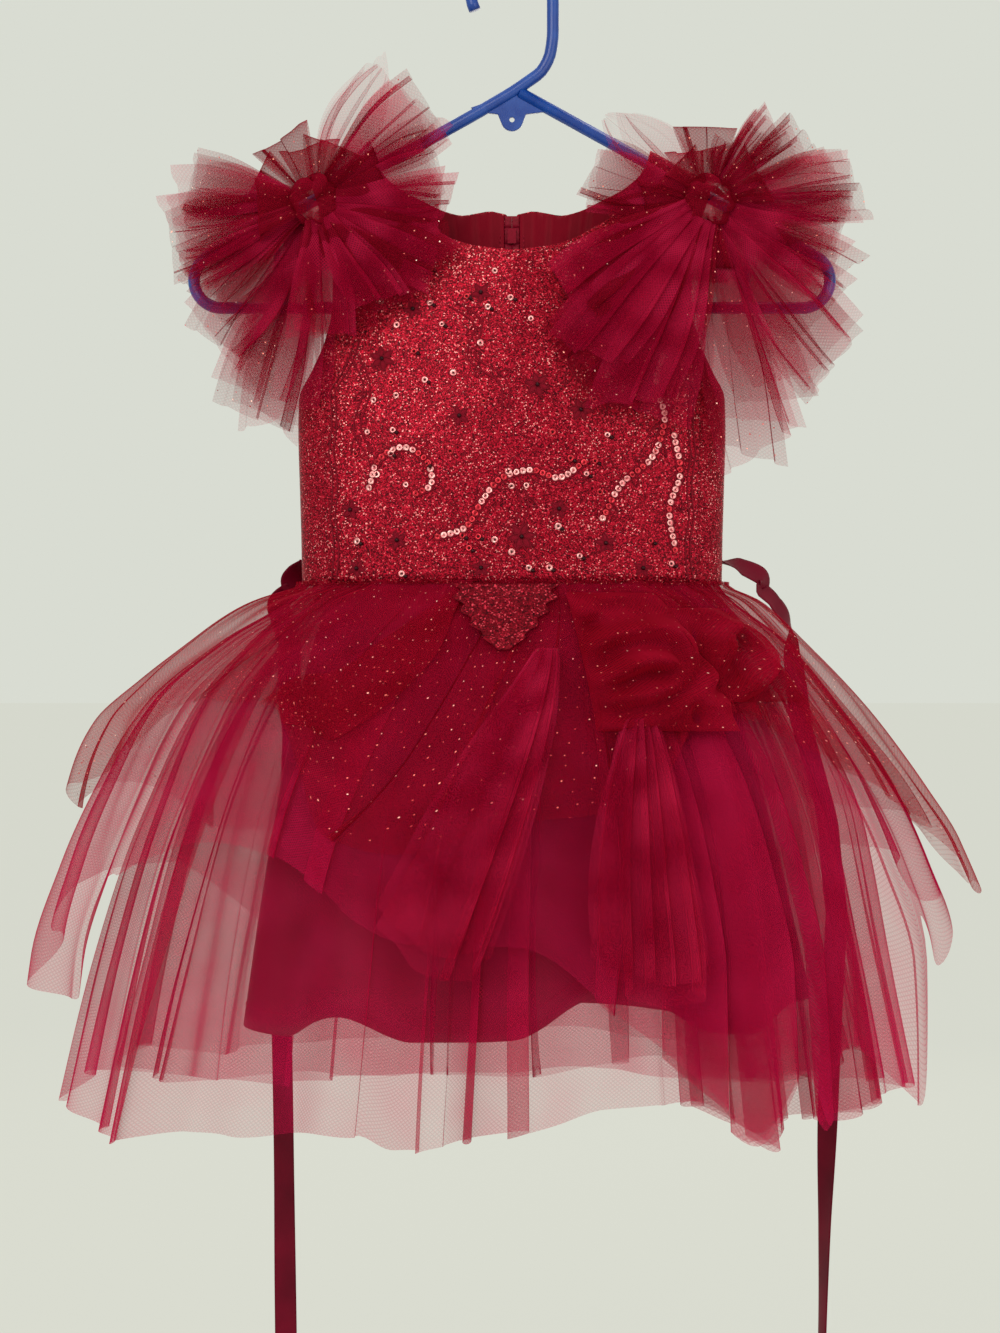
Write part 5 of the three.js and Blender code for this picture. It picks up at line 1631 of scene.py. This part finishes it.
def buildZip():
    pieces = []
    top = float(backNeck(0.0)) - 0.6
    slotFoot, slotTop = zipSizes["slot"]
    out = bodice["inside"]
    for side in (-1, 1):
        for z0, z1, inner, rows in (
                (top, slotTop, 0.02, 4), (slotTop, slotFoot, 1.15, 4),
                (slotFoot, zipSizes["bottom"], 0.15, 60)):
            low, high = sorted((side * inner, side * zipSizes["tapeHalf"]))
            points, normals = backStrip(low, high, z0, z1, out, 5, rows)
            pieces.append(clothWall("part", points, zipSizes["thick"], normals=normals))
    item = joined("zipTapeWoven", pieces)
    place(item, "zip", ["zip_tape"], "zip")
    z = np.arange(zipSizes["coilTop"], zipSizes["coilBottom"], -zipSizes["pitch"])
    points, normals = bodiceSurface(1, 0 * z, z, np.full(z.shape, out + 0.35))
    along = np.tile([1.0, 0.0, 0.0], (len(z), 1))
    rowPiece("zipCoilNylon", points, along, normals, np.ones(len(z)), shapes["coilLink"], "zip", "zip")
    for cadNode in ("zip_slider", "zip_pull_tab"):
        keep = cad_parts[cadNode]
        for k in range(max(len(keep.material_slots), 1)):
            if k < len(keep.material_slots):
                keep.material_slots[k].material = looks["slider"]
            else:
                keep.data.materials.append(looks["slider"])


buildZip()
print("zip made")


# a row of single stitches along a line, their threads standing on the cloth
def stitchRow(name, line, outward, look="thread", every=3.2, length=2.3):
    line = np.asarray(line)
    gaps = np.concatenate([[0], np.cumsum(np.linalg.norm(np.diff(line, axis=0), axis=1))])
    at = np.arange(every / 2, gaps[-1], every)
    points = np.stack([np.interp(at, gaps, line[:, k]) for k in range(3)], -1)
    outs = np.stack([np.interp(at, gaps, outward[:, k]) for k in range(3)], -1)
    slope = np.gradient(line, axis=0)
    along = np.stack([np.interp(at, gaps, slope[:, k]) for k in range(3)], -1)
    rowPiece(name, points, along, outs, np.full(len(points), length), shapes["stitch"], look, "lining_satin")


def buildStitches():
    for name, side in (("Left", -1), ("Right", 1)):
        z = np.linspace(-180, -405, 120)
        beside = np.full(z.shape, side * 8.0)
        line, outward = bodiceSurface(1, beside, z, np.full(z.shape, 0.55))
        stitchRow("zipStitches" + name, line, outward)
        inner, outward = bodiceSurface(1, beside, z, np.full(z.shape, bodice["inside"] - 0.42))
        stitchRow("zipStitchesInside" + name, inner, -outward)
    degrees = np.linspace(0, 360, 600)
    hem = hems["lining"](degrees) + 14
    line = ringPoint("lining", degrees, hem, 0.5)
    outward = ringPoint("lining", degrees, hem, 4.0) - line
    stitchRow("underskirtHemStitches", line, outward, every=3.6)


buildStitches()
print("stitches made")


studio = {
    "target": (-7.9, 0.0, -467.6),
    "distance": 1700.0,
    "pictureWidth": 660.0,
    "pictureShape": 1333 / 1000,
    "sensor": 36,
    "floorZ": -1060.0,
    "floorReach": 40.0,      # metres
    "sky": ("#dfe2d8", 0.94),
    "lampColour": "#fff6ea",
    "lamps": (               # name, place and size in metres, watts
        ("keyLight", (-0.9, -1.9, 0.6), 1.4, 24), ("fillLight", (1.3, -1.7, -0.2), 1.6, 12),
        ("topLight", (0.1, 0.2, 1.5), 1.2, 14), ("backLight", (0.3, 1.9, 0.3), 1.6, 14)),
}


def buildStudio():
    scene = bpy.context.scene
    target = Vector(studio["target"]) * mm
    data = bpy.data.cameras.new("camera")
    data.sensor_fit = "VERTICAL"
    data.sensor_height = studio["sensor"]
    data.lens = studio["sensor"] * studio["distance"] / (studio["pictureWidth"] * studio["pictureShape"])
    data.clip_end = 100
    camera = bpy.data.objects.new("camera", data)
    camera.location = target + Vector((0, -studio["distance"] * mm, 0))
    camera.rotation_euler = (math.radians(90), 0, 0)
    scene.collection.objects.link(camera)
    scene.camera = camera

    world = bpy.data.worlds.new("studioLight")
    world.use_nodes = True
    background = world.node_tree.nodes["Background"]
    colour, strength = studio["sky"]
    background.inputs["Color"].default_value = linear(colour)
    background.inputs["Strength"].default_value = strength
    scene.world = world

    for name, where, size, power in studio["lamps"]:
        lamp = bpy.data.lights.new(name, "AREA")
        lamp.size = size
        lamp.energy = power
        lamp.color = linear(studio["lampColour"])[:3]
        item = bpy.data.objects.new(name, lamp)
        item.location = where
        item.rotation_euler = (target - Vector(where)).to_track_quat("-Z", "Y").to_euler()
        scene.collection.objects.link(item)

    reach, z = studio["floorReach"], studio["floorZ"] * mm
    mesh = bpy.data.meshes.new("studioFloor")
    corners = [(-reach, -reach, z), (reach, -reach, z), (reach, reach, z), (-reach, reach, z)]
    mesh.from_pydata(corners, [], [(0, 1, 2, 3)])
    floor = bpy.data.objects.new("studioFloor", mesh)
    floor.data.materials.append(looks["floor"])
    scene.collection.objects.link(floor)

    scene.view_settings.view_transform = "Standard"
    scene.cycles.transparent_max_bounces = 48
    scene.cycles.max_bounces = 8


buildStudio()
print("studio made")
